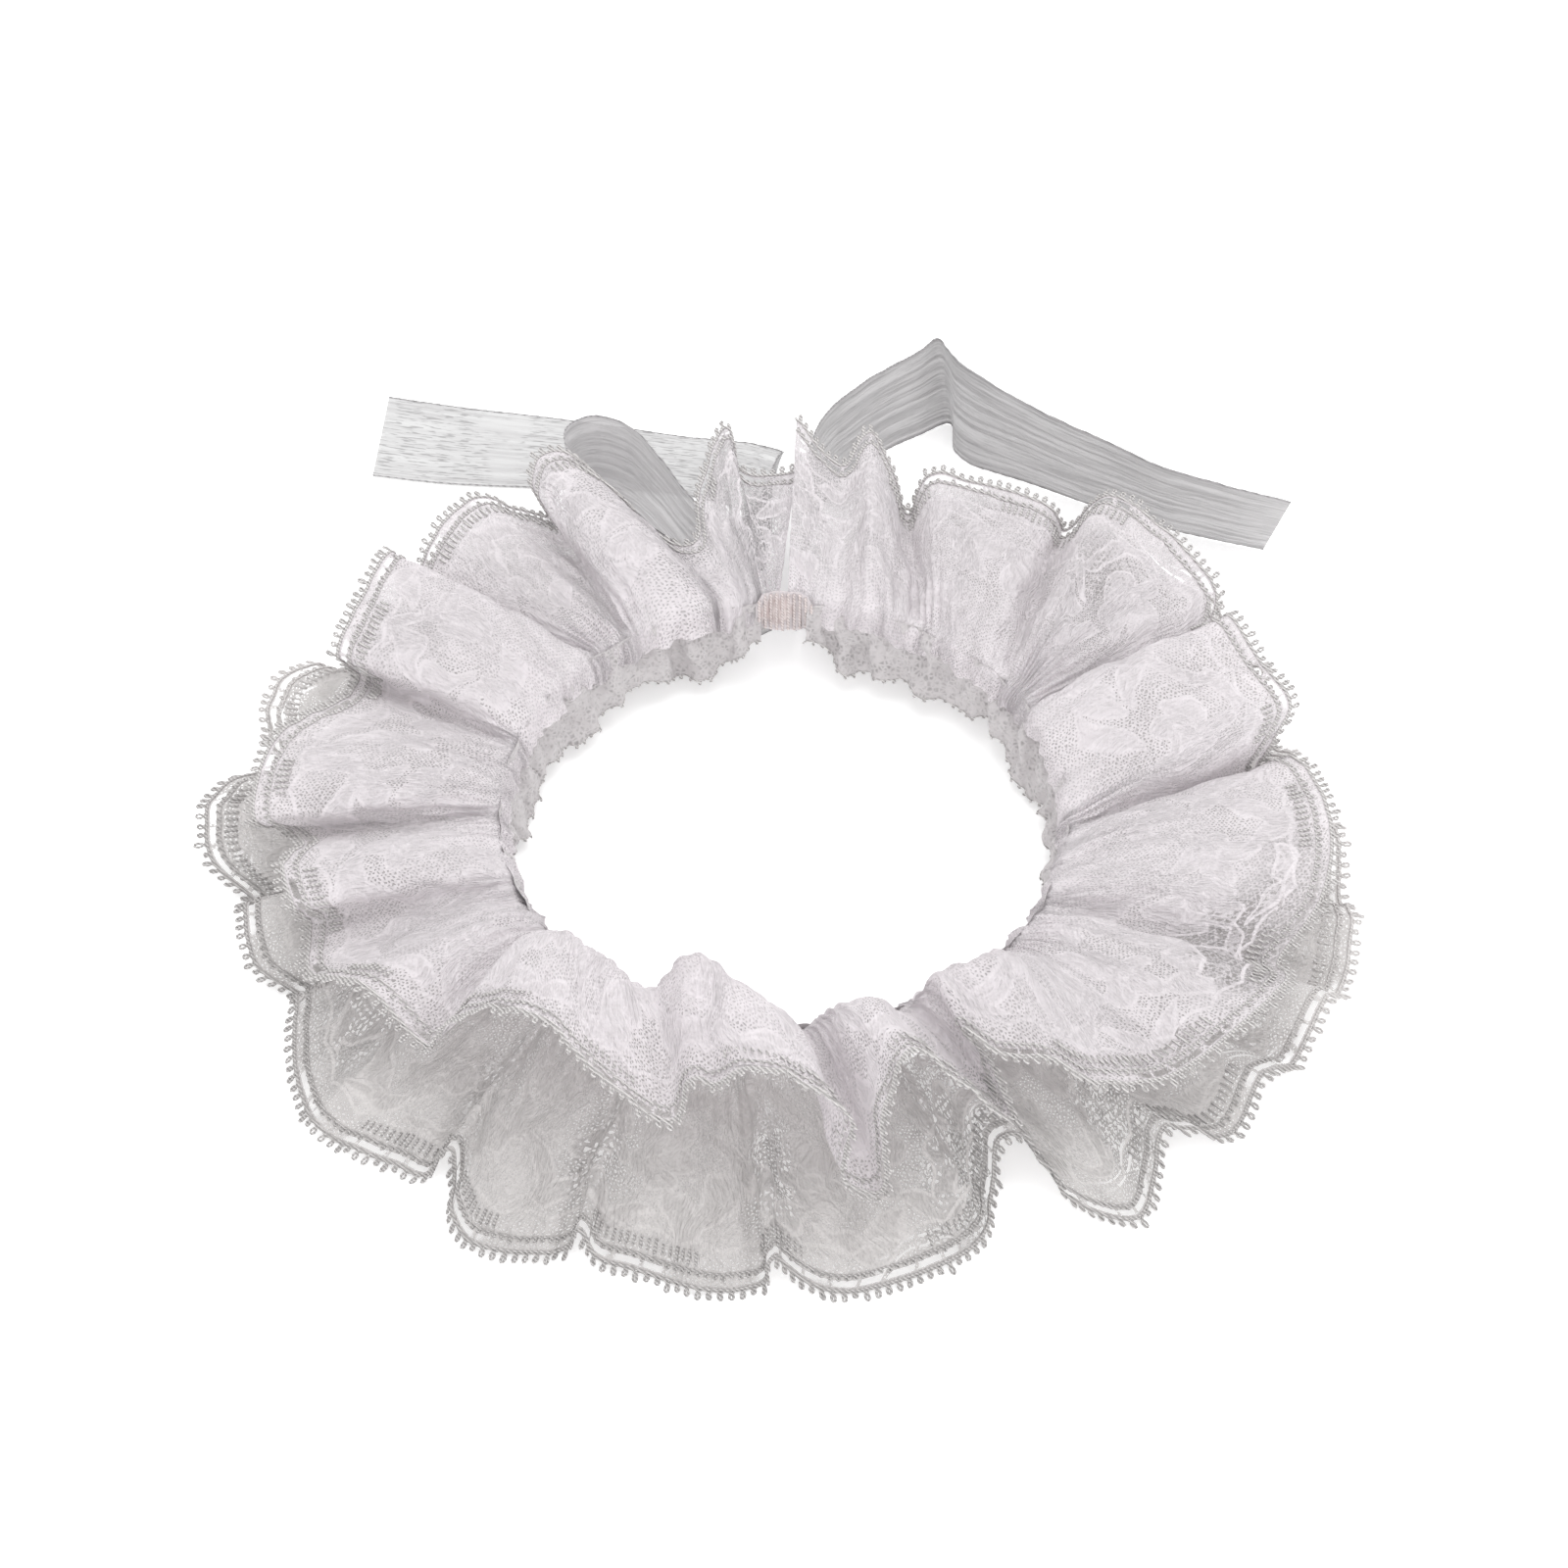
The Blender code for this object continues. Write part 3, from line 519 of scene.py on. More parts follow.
def lace_material(name, thread, shade, sizes, sheer, seed, slots_from, cord_show, pale):
    """Machine-made lace: a fine hexagonal net with flowers and leaves in closer clothwork, outlined in cord.

    Sheer says how clear its holes are, slots_from how rare its slots, cord_show how light its cords stand out,
    and pale how much painted light it gets from its right side round the back. It also gets painted light near its
    seam and painted shade in its patches of open net."""
    material, shader = new_material(name, thread, 0.85, 0.15)
    tree = material.node_tree
    place = add(tree, "ShaderNodeUVMap", uv_map="cloth")
    moved = add(tree, "ShaderNodeVectorMath", place, (0.37 * seed, 0.0, 0.0), operation="ADD")
    wander = add(tree, "ShaderNodeTexNoise", {"Vector": moved, "Scale": 70.0, "Detail": 1.0}).node.outputs["Color"]
    shift = add(tree, "ShaderNodeVectorMath", wander, (0.5, 0.5, 0.5), operation="SUBTRACT")
    shift = add(tree, "ShaderNodeVectorMath", shift, 0.014, operation="SCALE")
    bent = add(tree, "ShaderNodeVectorMath", moved, shift, operation="ADD")
    along, inset = add(tree, "ShaderNodeSeparateXYZ", place).node.outputs[:2]
    warped, y = add(tree, "ShaderNodeSeparateXYZ", bent).node.outputs[:2]
    repeat = sizes.motif_repeat
    x = add(tree, MATH, add(tree, MATH, warped, repeat / 2, operation="PINGPONG"), repeat / 4, operation="SUBTRACT")

    flower = petals(tree, x, y, *FLOWERS[0])
    heart = petals(tree, x, y, *FLOWER_HEART)
    shapes = [flower, petals(tree, x, y, *FLOWERS[1])]
    shapes += [leaf(tree, x, y, *each) for each in LEAVES]
    nearest = shapes[0]
    for shape in shapes[1:]:
        nearest = add(tree, MATH, nearest, shape, operation="MAXIMUM")
    clothwork = add(tree, RANGE, nearest, -0.0001, 0.0004, **SMOOTH)
    heart = add(tree, MATH, heart, operation="ABSOLUTE")
    outline = add(tree, MATH, add(tree, MATH, nearest, operation="ABSOLUTE"), heart, operation="MINIMUM")
    cord = add(tree, RANGE, outline, sizes.cord_width * 0.75, sizes.cord_width * 0.25, **SMOOTH)
    stems = add(tree, "ShaderNodeTexNoise", {"Vector": moved, "Scale": 62.0, "Detail": 1.0, "Roughness": 0.55})
    stem = add(tree, RANGE, gap_to(tree, stems, 0.5), 0.013, 0.005, **SMOOTH)
    cord = add(tree, MATH, cord, add(tree, MATH, stem, 0.45, operation="MULTIPLY"), operation="MAXIMUM")

    scallop = add(tree, MATH, wave(tree, along, SCALLOP_PITCH), operation="ABSOLUTE")
    scallop = add(tree, MATH, scallop, SCALLOP_DEPTH, SCALLOP_INSET, operation="MULTIPLY_ADD")
    scallop = add(tree, RANGE, gap_to(tree, inset, scallop), 0.0006, 0.0002, **SMOOTH)
    cord = add(tree, MATH, cord, scallop, operation="MAXIMUM")
    edge_band = add(tree, RANGE, inset, BORDER_EDGE, 0.0007, **SMOOTH)
    row_band = add(tree, RANGE, gap_to(tree, inset, BORDER_ROW), 0.0008, 0.0006, **SMOOTH)
    border = add(tree, MATH, edge_band, row_band, operation="MAXIMUM")

    drift = add(tree, "ShaderNodeTexNoise", {"Vector": moved, "Scale": 900.0, "Detail": 0.0}).node.outputs["Color"]
    drift_x, drift_y = add(tree, "ShaderNodeSeparateXYZ", drift).node.outputs[:2]
    nets = []
    for shift_x, shift_y, stray, cell in (
        (drift_x, drift_y, 0.0011, sizes.net_cell),
        (drift_y, drift_x, 0.0016, sizes.net_cell * 1.8),
    ):
        net_x = add(tree, MATH, shift_x, stray, along, operation="MULTIPLY_ADD")
        net_y = add(tree, MATH, shift_y, stray, inset, operation="MULTIPLY_ADD")
        nets.append(honeycomb(tree, net_x, net_y, cell))
    holes, coarse = nets
    opened_and_shaded = add(tree, "ShaderNodeAttribute", attribute_name="openness").node.outputs["Fac"]
    scatter = add(tree, "ShaderNodeTexNoise", {"Vector": moved, "Scale": 210.0, "Detail": 0.0})
    bare = add(tree, MATH, 1.0, add(tree, MATH, cord, border, operation="MAXIMUM"), operation="SUBTRACT")
    wide = add(tree, RANGE, opened_and_shaded, 0.3, 0.75, **SMOOTH)
    scatter = add(tree, RANGE, scatter, 0.42, 0.54, **SMOOTH)
    for part in (scatter, add(tree, RANGE, coarse, 0.05, 0.3, **SMOOTH), bare):
        wide = add(tree, MATH, wide, part, operation="MULTIPLY")
    grain = add(tree, "ShaderNodeMapping", {0: bent, "Scale": (1150.0, 480.0, 1.0)})
    fluff = add(tree, "ShaderNodeTexNoise", {"Vector": grain, "Scale": 1.0, "Detail": 1.0, "Roughness": 0.65})
    fluff = add(tree, RANGE, fluff, 0.3, 0.7, **SMOOTH)
    patch = add(tree, "ShaderNodeTexNoise", {"Vector": moved, "Scale": 38.0, "Detail": 1.0})
    patch = add(tree, MATH, opened_and_shaded, 0.16, patch, operation="MULTIPLY_ADD")
    open_net = add(
        tree, MATH, add(tree, RANGE, patch, 0.47, 0.6, **SMOOTH), add(tree, RANGE, inset, 0.0085, 0.0045, **SMOOTH),
        operation="MAXIMUM",
    )
    hole = add(tree, RANGE, add(tree, MATH, opened_and_shaded, 0.08, holes, operation="MULTIPLY_ADD"), 0.15, 0.6, **SMOOTH)
    solid = add(tree, MATH, add(tree, MATH, clothwork, cord, operation="MAXIMUM"), border, operation="MAXIMUM")
    clear = add(tree, MATH, hole, add(tree, MATH, 1.0, solid, operation="SUBTRACT"), operation="MULTIPLY")
    hatch = add(tree, RANGE, wave(tree, along, CLOTHWORK_PITCH), -0.2, 0.9, **SMOOTH)
    hatch = add(tree, MATH, hatch, clothwork, operation="MULTIPLY")

    slot_wave = add(tree, MATH, add(tree, MATH, warped, 1 / SLOT_PITCH, operation="MULTIPLY"), operation="FRACT")
    slot_here = add(
        tree, MATH, add(tree, RANGE, slot_wave, 0.06, 0.14, **SMOOTH),
        add(tree, RANGE, slot_wave, 0.98, 0.9, **SMOOTH), operation="MULTIPLY",
    )
    slot_row = add(tree, RANGE, gap_to(tree, inset, FIRST_SLOT_ROW), 0.0008, 0.0005, **SMOOTH)
    for row, half in LATER_SLOT_ROWS:
        more = add(tree, RANGE, gap_to(tree, y, row), half, half * 0.5, **SMOOTH)
        there = add(tree, RANGE, patch, slots_from + 0.12, slots_from + 0.18, **SMOOTH)
        more = add(tree, MATH, more, there, operation="MULTIPLY")
        slot_row = add(tree, MATH, slot_row, more, operation="MAXIMUM")
    slot_some = add(tree, "ShaderNodeTexNoise", {"Vector": moved, "Scale": 45.0, "Detail": 0.0})
    slot_some = add(tree, RANGE, slot_some, slots_from, slots_from + 0.06, **SMOOTH)
    slots = add(tree, MATH, slot_here, slot_row, operation="MULTIPLY")
    slots = add(tree, MATH, slots, slot_some, operation="MULTIPLY")

    openness = add(tree, MATH, clear, add(tree, MIX, open_net, sheer * 0.45, sheer), operation="MULTIPLY")
    see_through = add(tree, MATH, add(tree, MATH, openness, slots, operation="MAXIMUM"), wide, operation="MAXIMUM")
    alpha = add(tree, MATH, 1.0, see_through, operation="SUBTRACT")

    dim = add(tree, MATH, clear, add(tree, MIX, open_net, 0.3, 0.75), operation="MULTIPLY")
    dim = add(tree, MATH, dim, add(tree, MATH, hatch, 0.16, operation="MULTIPLY"), operation="MAXIMUM")
    shaded = add(tree, MATH, fluff, -0.5, add(tree, MATH, dim, 0.3, operation="ADD"), operation="MULTIPLY_ADD")
    tone = add(tree, MIX, shaded, thread, shade, data_type="RGBA")
    # Painted shade: in the patches of open net the cloth is drawn darker, most where the coarse net runs and least
    # on the clothwork, as if shadowed layers showed through.
    knots = add(tree, MATH, add(tree, RANGE, coarse, -0.35, 0.15, **SMOOTH), 0.6, 0.4, operation="MULTIPLY_ADD")
    veiled = add(tree, MATH, clothwork, -0.6, 1.0, operation="MULTIPLY_ADD")
    veiled = add(tree, MATH, knots, veiled, operation="MULTIPLY")
    deep = add(tree, MATH, add(tree, MATH, opened_and_shaded, 1.0, operation="MINIMUM"), veiled, operation="MULTIPLY")
    deep = add(tree, MATH, deep, 0.85, operation="MULTIPLY")
    tone = add(tree, MIX, deep, tone, toned(shade, 0.66), data_type="RGBA")
    # Painted light near the seam: the mark read from the seam is 1 there, where shade falls in the creases by the
    # neck, and the cloth is drawn lighter.
    bright = toned(thread, 1.12)
    show = add(tree, MATH, opened_and_shaded, 0.4, cord_show, operation="MULTIPLY_ADD")
    show = add(tree, MATH, show, 1.0, operation="MINIMUM")
    near_seam = add(tree, "ShaderNodeAttribute", attribute_name="near_seam").node.outputs["Fac"]
    # From the right side of the collar round the back the cloth gets painted light, as much as pale says.
    for part, share in ((cord, show), (near_seam, 0.95), (painted_light_behind(tree), pale)):
        lighter = add(tree, MATH, part, share, operation="MULTIPLY")
        tone = add(tree, MIX, lighter, tone, bright, data_type="RGBA")
    relief = add(tree, MATH, hole, -0.3, fluff, operation="MULTIPLY_ADD")
    dress_shader(tree, shader, tone, add(tree, MIX, cord, 0.9, 0.6), relief, 0.00028)
    lit_through(tree, shader, tone, alpha, 0.35)
    return material


def crumpled_lace_material(thread, shade):
    """The frill's lace, drawn up so closely that the net closes up and only its crumpled threads show."""
    material, shader = new_material("gathered_lace", thread, 0.9, 0.2)
    tree = material.node_tree
    place = add(tree, "ShaderNodeTexCoord").node.outputs["Object"]
    lumps = add(tree, "ShaderNodeTexNoise", {"Vector": place, "Scale": 300.0, "Detail": 3.0, "Roughness": 0.55})
    threads = add(tree, "ShaderNodeTexVoronoi", {"Vector": place, "Scale": 900.0}, feature="DISTANCE_TO_EDGE")
    gap = add(tree, RANGE, threads, 0.05, 0.45, **SMOOTH)
    dark = add(tree, MATH, gap, add(tree, RANGE, lumps, 0.35, 0.7, **SMOOTH), operation="MULTIPLY")
    tone = add(tree, MIX, dark, thread, shade, data_type="RGBA")
    relief = add(tree, MATH, lumps, add(tree, MATH, gap, 0.35, operation="MULTIPLY"), operation="SUBTRACT")
    dress_shader(tree, shader, tone, add(tree, MIX, gap, 0.75, 0.95), relief, 0.0006)
    return material


def thread_material(name, tint, shade, pitch, pale=0.0):
    """Twisted cotton cord: fine slanting strands, drawn about twice as coarse as real so that they show."""
    material, shader = new_material(name, tint, 0.75, 0.2)
    tree = material.node_tree
    place = add(tree, "ShaderNodeTexCoord").node.outputs["Object"]
    x, y, z = add(tree, "ShaderNodeSeparateXYZ", place).node.outputs
    turned = add(tree, MATH, add(tree, MATH, x, y, operation="ADD"), z, operation="ADD")
    strand = add(tree, RANGE, wave(tree, turned, pitch), -0.9, 0.2, **SMOOTH)
    tone = add(tree, MIX, strand, shade, tint, data_type="RGBA")
    # Painted light, as much as pale says, from the right side of the collar round the back.
    lighter = add(tree, MATH, painted_light_behind(tree), pale, operation="MULTIPLY")
    tone = add(tree, MIX, lighter, tone, toned(tint, 1.5), data_type="RGBA")
    dress_shader(tree, shader, tone, add(tree, MIX, strand, 0.9, 0.65), strand, 0.0002)
    return material


def darned_material(tint, plain, shade, middle):
    """Pinkish darning cotton over the joined ends, giving way to the lace's own thread towards its edges."""
    material, shader = new_material("darned_cotton", tint, 0.85, 0.3)
    tree = material.node_tree
    place = add(tree, "ShaderNodeUVMap", uv_map="cloth")
    from_middle = add(tree, "ShaderNodeVectorMath", place, middle + (0.0,), operation="SUBTRACT")
    scaled = (1 / middle[0], 1 / middle[1], 1.0)
    reach = add(tree, "ShaderNodeVectorMath", from_middle, scaled, operation="MULTIPLY")
    reach = add(tree, "ShaderNodeVectorMath", reach, operation="LENGTH")
    strands = add(tree, "ShaderNodeMapping", {0: place, "Scale": (1500.0, 260.0, 1.0)})
    strands = add(tree, "ShaderNodeTexNoise", {"Vector": strands, "Scale": 1.0, "Detail": 3.0})
    edge = add(tree, RANGE, add(tree, MATH, strands, 0.7, reach, operation="MULTIPLY_ADD"), 0.75, 1.25, **SMOOTH)
    tone = add(tree, MIX, add(tree, RANGE, strands, 0.35, 0.65, **SMOOTH), shade, tint, data_type="RGBA")
    tone = add(tree, MIX, edge, tone, plain, data_type="RGBA")
    dress_shader(tree, shader, tone, add(tree, MIX, strands, 0.9, 0.7), strands, 0.0007)
    return material


def tape_material(tint, shade):
    """Woven cotton tape: plain weave, warp and weft about 0.5 mm apart."""
    material, shader = new_material("woven_tape", tint, 0.85, 0.1)
    tree = material.node_tree
    place = add(tree, "ShaderNodeUVMap", uv_map="cloth")
    along, across = add(tree, "ShaderNodeSeparateXYZ", place).node.outputs[:2]
    warp, weft = (wave(tree, way, WEAVE_PITCH) for way in (along, across))
    weave = add(tree, RANGE, add(tree, MATH, warp, weft, operation="MULTIPLY"), -0.8, 0.8, **SMOOTH)
    tone = add(tree, MIX, weave, shade, tint, data_type="RGBA")
    dress_shader(tree, shader, tone, add(tree, MIX, weave, 0.95, 0.75), weave, 0.0003)
    return material


def organza_material(name, tint, shade, light, length, painted_light_span):
    """Nylon organza ribbon: sheer weave with slubs and streaks along it and a closer selvedge each side."""
    material, shader = new_material(name, tint, 0.5, 0.25)
    tree = material.node_tree
    place = add(tree, "ShaderNodeUVMap", uv_map="cloth")
    stretched = add(tree, "ShaderNodeMapping", {0: place, "Scale": (32.0, 900.0, 1.0)})
    streaks = add(tree, "ShaderNodeTexNoise", {"Vector": stretched, "Scale": 1.0, "Detail": 3.0, "Roughness": 0.6})
    slubs = add(tree, "ShaderNodeMapping", {0: place, "Scale": (230.0, 2000.0, 1.0)})
    slubs = add(tree, "ShaderNodeTexNoise", {"Vector": slubs, "Scale": 1.0, "Detail": 2.0})
    clouds = add(tree, "ShaderNodeTexNoise", {"Vector": place, "Scale": 90.0, "Detail": 2.0})
    along, across = add(tree, "ShaderNodeSeparateXYZ", place).node.outputs[:2]
    # Painted light: far is 0 along the ribbon and 1 along its flat tail, which is drawn in the lighter colour.
    far = add(tree, RANGE, along, length * painted_light_span[0], length * painted_light_span[1], **SMOOTH)
    middle = gap_to(tree, across, RIBBON_WIDTH * MM / 2)
    selvedge = add(tree, RANGE, middle, 0.0112, 0.0118, **SMOOTH)
    selvedge_line = add(tree, RANGE, gap_to(tree, middle, 0.0109), 0.0003, 0.0001, **SMOOTH)
    fleck = add(tree, RANGE, slubs, 0.53, 0.62, **SMOOTH)
    fleck = add(tree, MATH, fleck, add(tree, RANGE, clouds, 0.34, 0.5, **SMOOTH), operation="MULTIPLY")
    streak = add(tree, RANGE, streaks, 0.35, 0.65, **SMOOTH)
    base = add(tree, MIX, far, tint, light, data_type="RGBA")
    base = add(tree, MIX, add(tree, MATH, streak, 0.5, operation="MULTIPLY"), base, shade, data_type="RGBA")
    fleck = add(tree, MATH, fleck, add(tree, MATH, far, 0.5, 0.2, operation="MULTIPLY_ADD"), operation="MULTIPLY")
    base = add(tree, MIX, fleck, base, toned(shade, 0.6), data_type="RGBA")
    base = add(tree, MIX, add(tree, MATH, selvedge_line, 0.5, operation="MULTIPLY"), base, shade, data_type="RGBA")
    sheer = add(tree, MATH, streak, 0.1, 0.86, operation="MULTIPLY_ADD")
    fill(tree, shader, {"Alpha": add(tree, MATH, sheer, selvedge, operation="MAXIMUM")})
    dress_shader(tree, shader, base, add(tree, MIX, streak, 0.42, 0.6), streaks, 0.0002)
    return material


def table_material(tint):
    """Opal acrylic of a light table, faintly lit from below, with a faint grain."""
    material, shader = new_material("opal_acrylic", tint, 0.95)
    shader.inputs["Emission Color"].default_value = tint
    shader.inputs["Emission Strength"].default_value = 0.32
    tree = material.node_tree
    place = add(tree, "ShaderNodeTexCoord").node.outputs["Object"]
    grain = add(tree, "ShaderNodeTexNoise", {"Vector": place, "Scale": 300.0, "Detail": 2.0})
    soft = toned(tint, 0.985)
    fill(tree, shader, {"Base Color": add(tree, MIX, grain, tint, soft, data_type="RGBA")})
    return material


def thread_tree(name, sizes):
    """A geometry node tree with Geometry in and out, the named sizes and a Material as inputs."""
    tree = bpy.data.node_groups.new(name, "GeometryNodeTree")
    tree.interface.new_socket("Geometry", in_out="INPUT", socket_type="NodeSocketGeometry")
    for label in sizes:
        kind = "NodeSocketInt" if label == "Seed" else "NodeSocketFloat"
        tree.interface.new_socket(label, in_out="INPUT", socket_type=kind)
    tree.interface.new_socket("Material", in_out="INPUT", socket_type="NodeSocketMaterial")
    tree.interface.new_socket("Geometry", in_out="OUTPUT", socket_type="NodeSocketGeometry")
    return tree, tree.nodes.new("NodeGroupInput"), tree.nodes.new("NodeGroupOutput")


def finish_tree(tree, geometry, start, end):
    """Ends a tree of thread: real geometry, in its material, smoothly shaded."""
    whole = add(tree, "GeometryNodeRealizeInstances", geometry)
    dressed = add(tree, "GeometryNodeSetMaterial", {"Geometry": whole, "Material": start.outputs["Material"]})
    smooth = add(tree, "GeometryNodeSetShadeSmooth", {"Geometry": dressed})
    tree.links.new(smooth, end.inputs[0])


def picot_tree():
    """Thread looped out from the edge of the cloth at an even pitch: the picots of the hem."""
    tree, start, end = thread_tree("picot_edging", ("Pitch", "Reach", "Loop", "Thread Radius"))
    curve = add(tree, "GeometryNodeMeshToCurve", {"Mesh": start.outputs["Geometry"]})
    step = add(tree, MATH, start.outputs["Pitch"], 9.0, operation="DIVIDE")
    even = add(tree, "GeometryNodeResampleCurve", {"Curve": curve, "Length": step}, mode="LENGTH")
    walked = add(tree, "GeometryNodeSplineParameter").node.outputs["Length"]
    turns = add(tree, MATH, walked, start.outputs["Pitch"], operation="DIVIDE")
    phase = add(tree, MATH, turns, 2 * pi, operation="MULTIPLY")
    outward = add(tree, "GeometryNodeInputNamedAttribute", {"Name": "outward"}, data_type="FLOAT_VECTOR")
    uneven = add(tree, "ShaderNodeTexNoise", {"W": turns, "Scale": 0.9, "Detail": 0.0}, noise_dimensions="1D")
    reach = add(
        tree, MATH, start.outputs["Reach"], add(tree, MATH, uneven, 0.5, operation="ADD"), operation="MULTIPLY"
    )
    swing = add(
        tree, MATH, add(tree, MATH, 1.0, add(tree, MATH, phase, operation="COSINE"), operation="SUBTRACT"), 0.5,
        operation="MULTIPLY",
    )
    out = add(tree, MATH, reach, swing, operation="MULTIPLY")
    out = add(tree, "ShaderNodeVectorMath", outward, out, operation="SCALE")
    tangent = add(tree, "GeometryNodeInputTangent")
    back = add(tree, MATH, start.outputs["Loop"], add(tree, MATH, phase, operation="SINE"), operation="MULTIPLY")
    back = add(tree, "ShaderNodeVectorMath", tangent, back, operation="SCALE")
    offset = add(tree, "ShaderNodeVectorMath", out, back, operation="ADD")
    looped = add(tree, "GeometryNodeSetPosition", {"Geometry": even, "Offset": offset})
    ring = add(
        tree, "GeometryNodeCurvePrimitiveCircle", {"Resolution": 4, "Radius": start.outputs["Thread Radius"]}
    )
    thread = add(tree, "GeometryNodeCurveToMesh", {"Curve": looped, "Profile Curve": ring, "Fill Caps": True})
    finish_tree(tree, thread, start, end)
    return tree


def cord_tree():
    """Cord laid along a line of the cloth, swelling a little where its strands cross."""
    tree, start, end = thread_tree("laid_cord", ("Pitch", "Thread Radius"))
    curve = add(tree, "GeometryNodeMeshToCurve", {"Mesh": start.outputs["Geometry"]})
    step = add(tree, MATH, start.outputs["Pitch"], 3.0, operation="DIVIDE")
    even = add(tree, "GeometryNodeResampleCurve", {"Curve": curve, "Length": step}, mode="LENGTH")
    walked = add(tree, "GeometryNodeSplineParameter").node.outputs["Length"]
    phase = add(
        tree, MATH, add(tree, MATH, walked, start.outputs["Pitch"], operation="DIVIDE"), 2 * pi,
        operation="MULTIPLY",
    )
    swell = add(tree, MATH, add(tree, MATH, phase, operation="SINE"), 0.28, 1.0, operation="MULTIPLY_ADD")
    shaped = add(tree, "GeometryNodeSetCurveRadius", {"Curve": even, "Radius": swell})
    ring = add(
        tree, "GeometryNodeCurvePrimitiveCircle", {"Resolution": 5, "Radius": start.outputs["Thread Radius"]}
    )
    inputs = {"Curve": shaped, "Profile Curve": ring, "Scale": swell, "Fill Caps": True}
    finish_tree(tree, add(tree, "GeometryNodeCurveToMesh", inputs), start, end)
    return tree


def bar_tree():
    """Upright stitches along a line of the cloth, in the stretches where the pattern has them."""
    names = ("Pitch", "Length", "Width", "Covered", "Seed")
    tree, start, end = thread_tree("upright_stitches", names)
    curve = add(tree, "GeometryNodeMeshToCurve", {"Mesh": start.outputs["Geometry"]})
    even = add(tree, "GeometryNodeResampleCurve", {"Curve": curve, "Length": start.outputs["Pitch"]}, mode="LENGTH")
    place = add(tree, "GeometryNodeSplineParameter").node.outputs["Length"]
    patch = add(tree, "ShaderNodeTexNoise", {"W": place, "Scale": 26.0, "Detail": 0.0}, noise_dimensions="1D")
    chosen = add(tree, "FunctionNodeCompare", patch, start.outputs["Covered"], operation="LESS_THAN")
    outward = add(tree, "GeometryNodeInputNamedAttribute", {"Name": "outward"}, data_type="FLOAT_VECTOR")
    turn = add(tree, "FunctionNodeAlignRotationToVector", {"Vector": outward}, axis="Z")
    uneven = add(tree, "FunctionNodeRandomValue", {"Min": 0.75, "Max": 1.2, "Seed": start.outputs["Seed"]})
    sizes = {"Vertices": 5, "Radius": start.outputs["Width"], "Depth": start.outputs["Length"]}
    bar = add(tree, "GeometryNodeMeshCylinder", sizes)
    inputs = {"Points": even, "Selection": chosen, "Instance": bar, "Rotation": turn, "Scale": uneven}
    stitches = add(tree, "GeometryNodeInstanceOnPoints", inputs)
    finish_tree(tree, stitches, start, end)
    return tree


def made_by_tree(path, tree, material, values):
    """The plain mesh that the tree makes from a path, under the path's name. The path itself goes."""
    modifier = path.modifiers.new("thread", "NODES")
    modifier.node_group = tree
    sockets = {item.name: item.identifier for item in tree.interface.items_tree if item.in_out == "INPUT"}
    for name, value in values.items():
        modifier[sockets[name]] = value
    modifier[sockets["Material"]] = material
    bpy.context.view_layer.update()
    evaluated = path.evaluated_get(bpy.context.evaluated_depsgraph_get())
    mesh = bpy.data.meshes.new_from_object(evaluated)
    coordinates = np.empty(len(mesh.vertices) * 3, np.float32)
    mesh.vertices.foreach_get("co", coordinates)
    coordinates[2::3] = pressed(coordinates[2::3], PRESSED_BELOW * MM)
    mesh.vertices.foreach_set("co", coordinates)
    name = path.name
    bpy.data.objects.remove(path, do_unlink=True)
    mesh.name = name
    made = plain_object(name, mesh)
    if not mesh.polygons:
        raise RuntimeError(f"{name} came out empty")
    return made


def dressed(piece, nodes, slot):
    """Hangs a finished piece on the body and hides the parts of the model that it stands for. The slot is not used.
    """
    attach(piece, "root")
    if nodes:
        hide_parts(*nodes)


class CollarSizes(bpy.types.PropertyGroup):
    """Sizes of the lace, its edgings and its gathers."""

    net_cell: bpy.props.FloatProperty(
        name="Net cell", description="Distance between the holes of the net", default=0.0008, unit="LENGTH"
    )
    motif_repeat: bpy.props.FloatProperty(
        name="Motif repeat", description="Length of lace with one flower each way round", default=0.062,
        unit="LENGTH",
    )
    cord_width: bpy.props.FloatProperty(
        name="Outline cord", description="Width of the cord round each motif", default=0.0009, unit="LENGTH"
    )
    picot_pitch: bpy.props.FloatProperty(
        name="Picot pitch", description="Distance between the loops of the hem", default=0.0022, unit="LENGTH"
    )
    picot_reach: bpy.props.FloatProperty(
        name="Picot reach", description="How far the loops stand out from the hem", default=0.0020, unit="LENGTH"
    )
    thread_radius: bpy.props.FloatProperty(
        name="Thread radius", description="Radius of the thread of the picots", default=0.00028, unit="LENGTH"
    )
    cord_radius: bpy.props.FloatProperty(
        name="Hem cord radius", description="Radius of the cords laid along the hem", default=0.00028, unit="LENGTH"
    )
    gather: bpy.props.FloatProperty(
        name="Gather depth", description="Depth of the small gathers at the neck", default=0.0006, unit="LENGTH"
    )
    crumple: bpy.props.FloatProperty(
        name="Crumple", description="Depth of the soft unevenness of the cloth", default=0.00045, unit="LENGTH"
    )


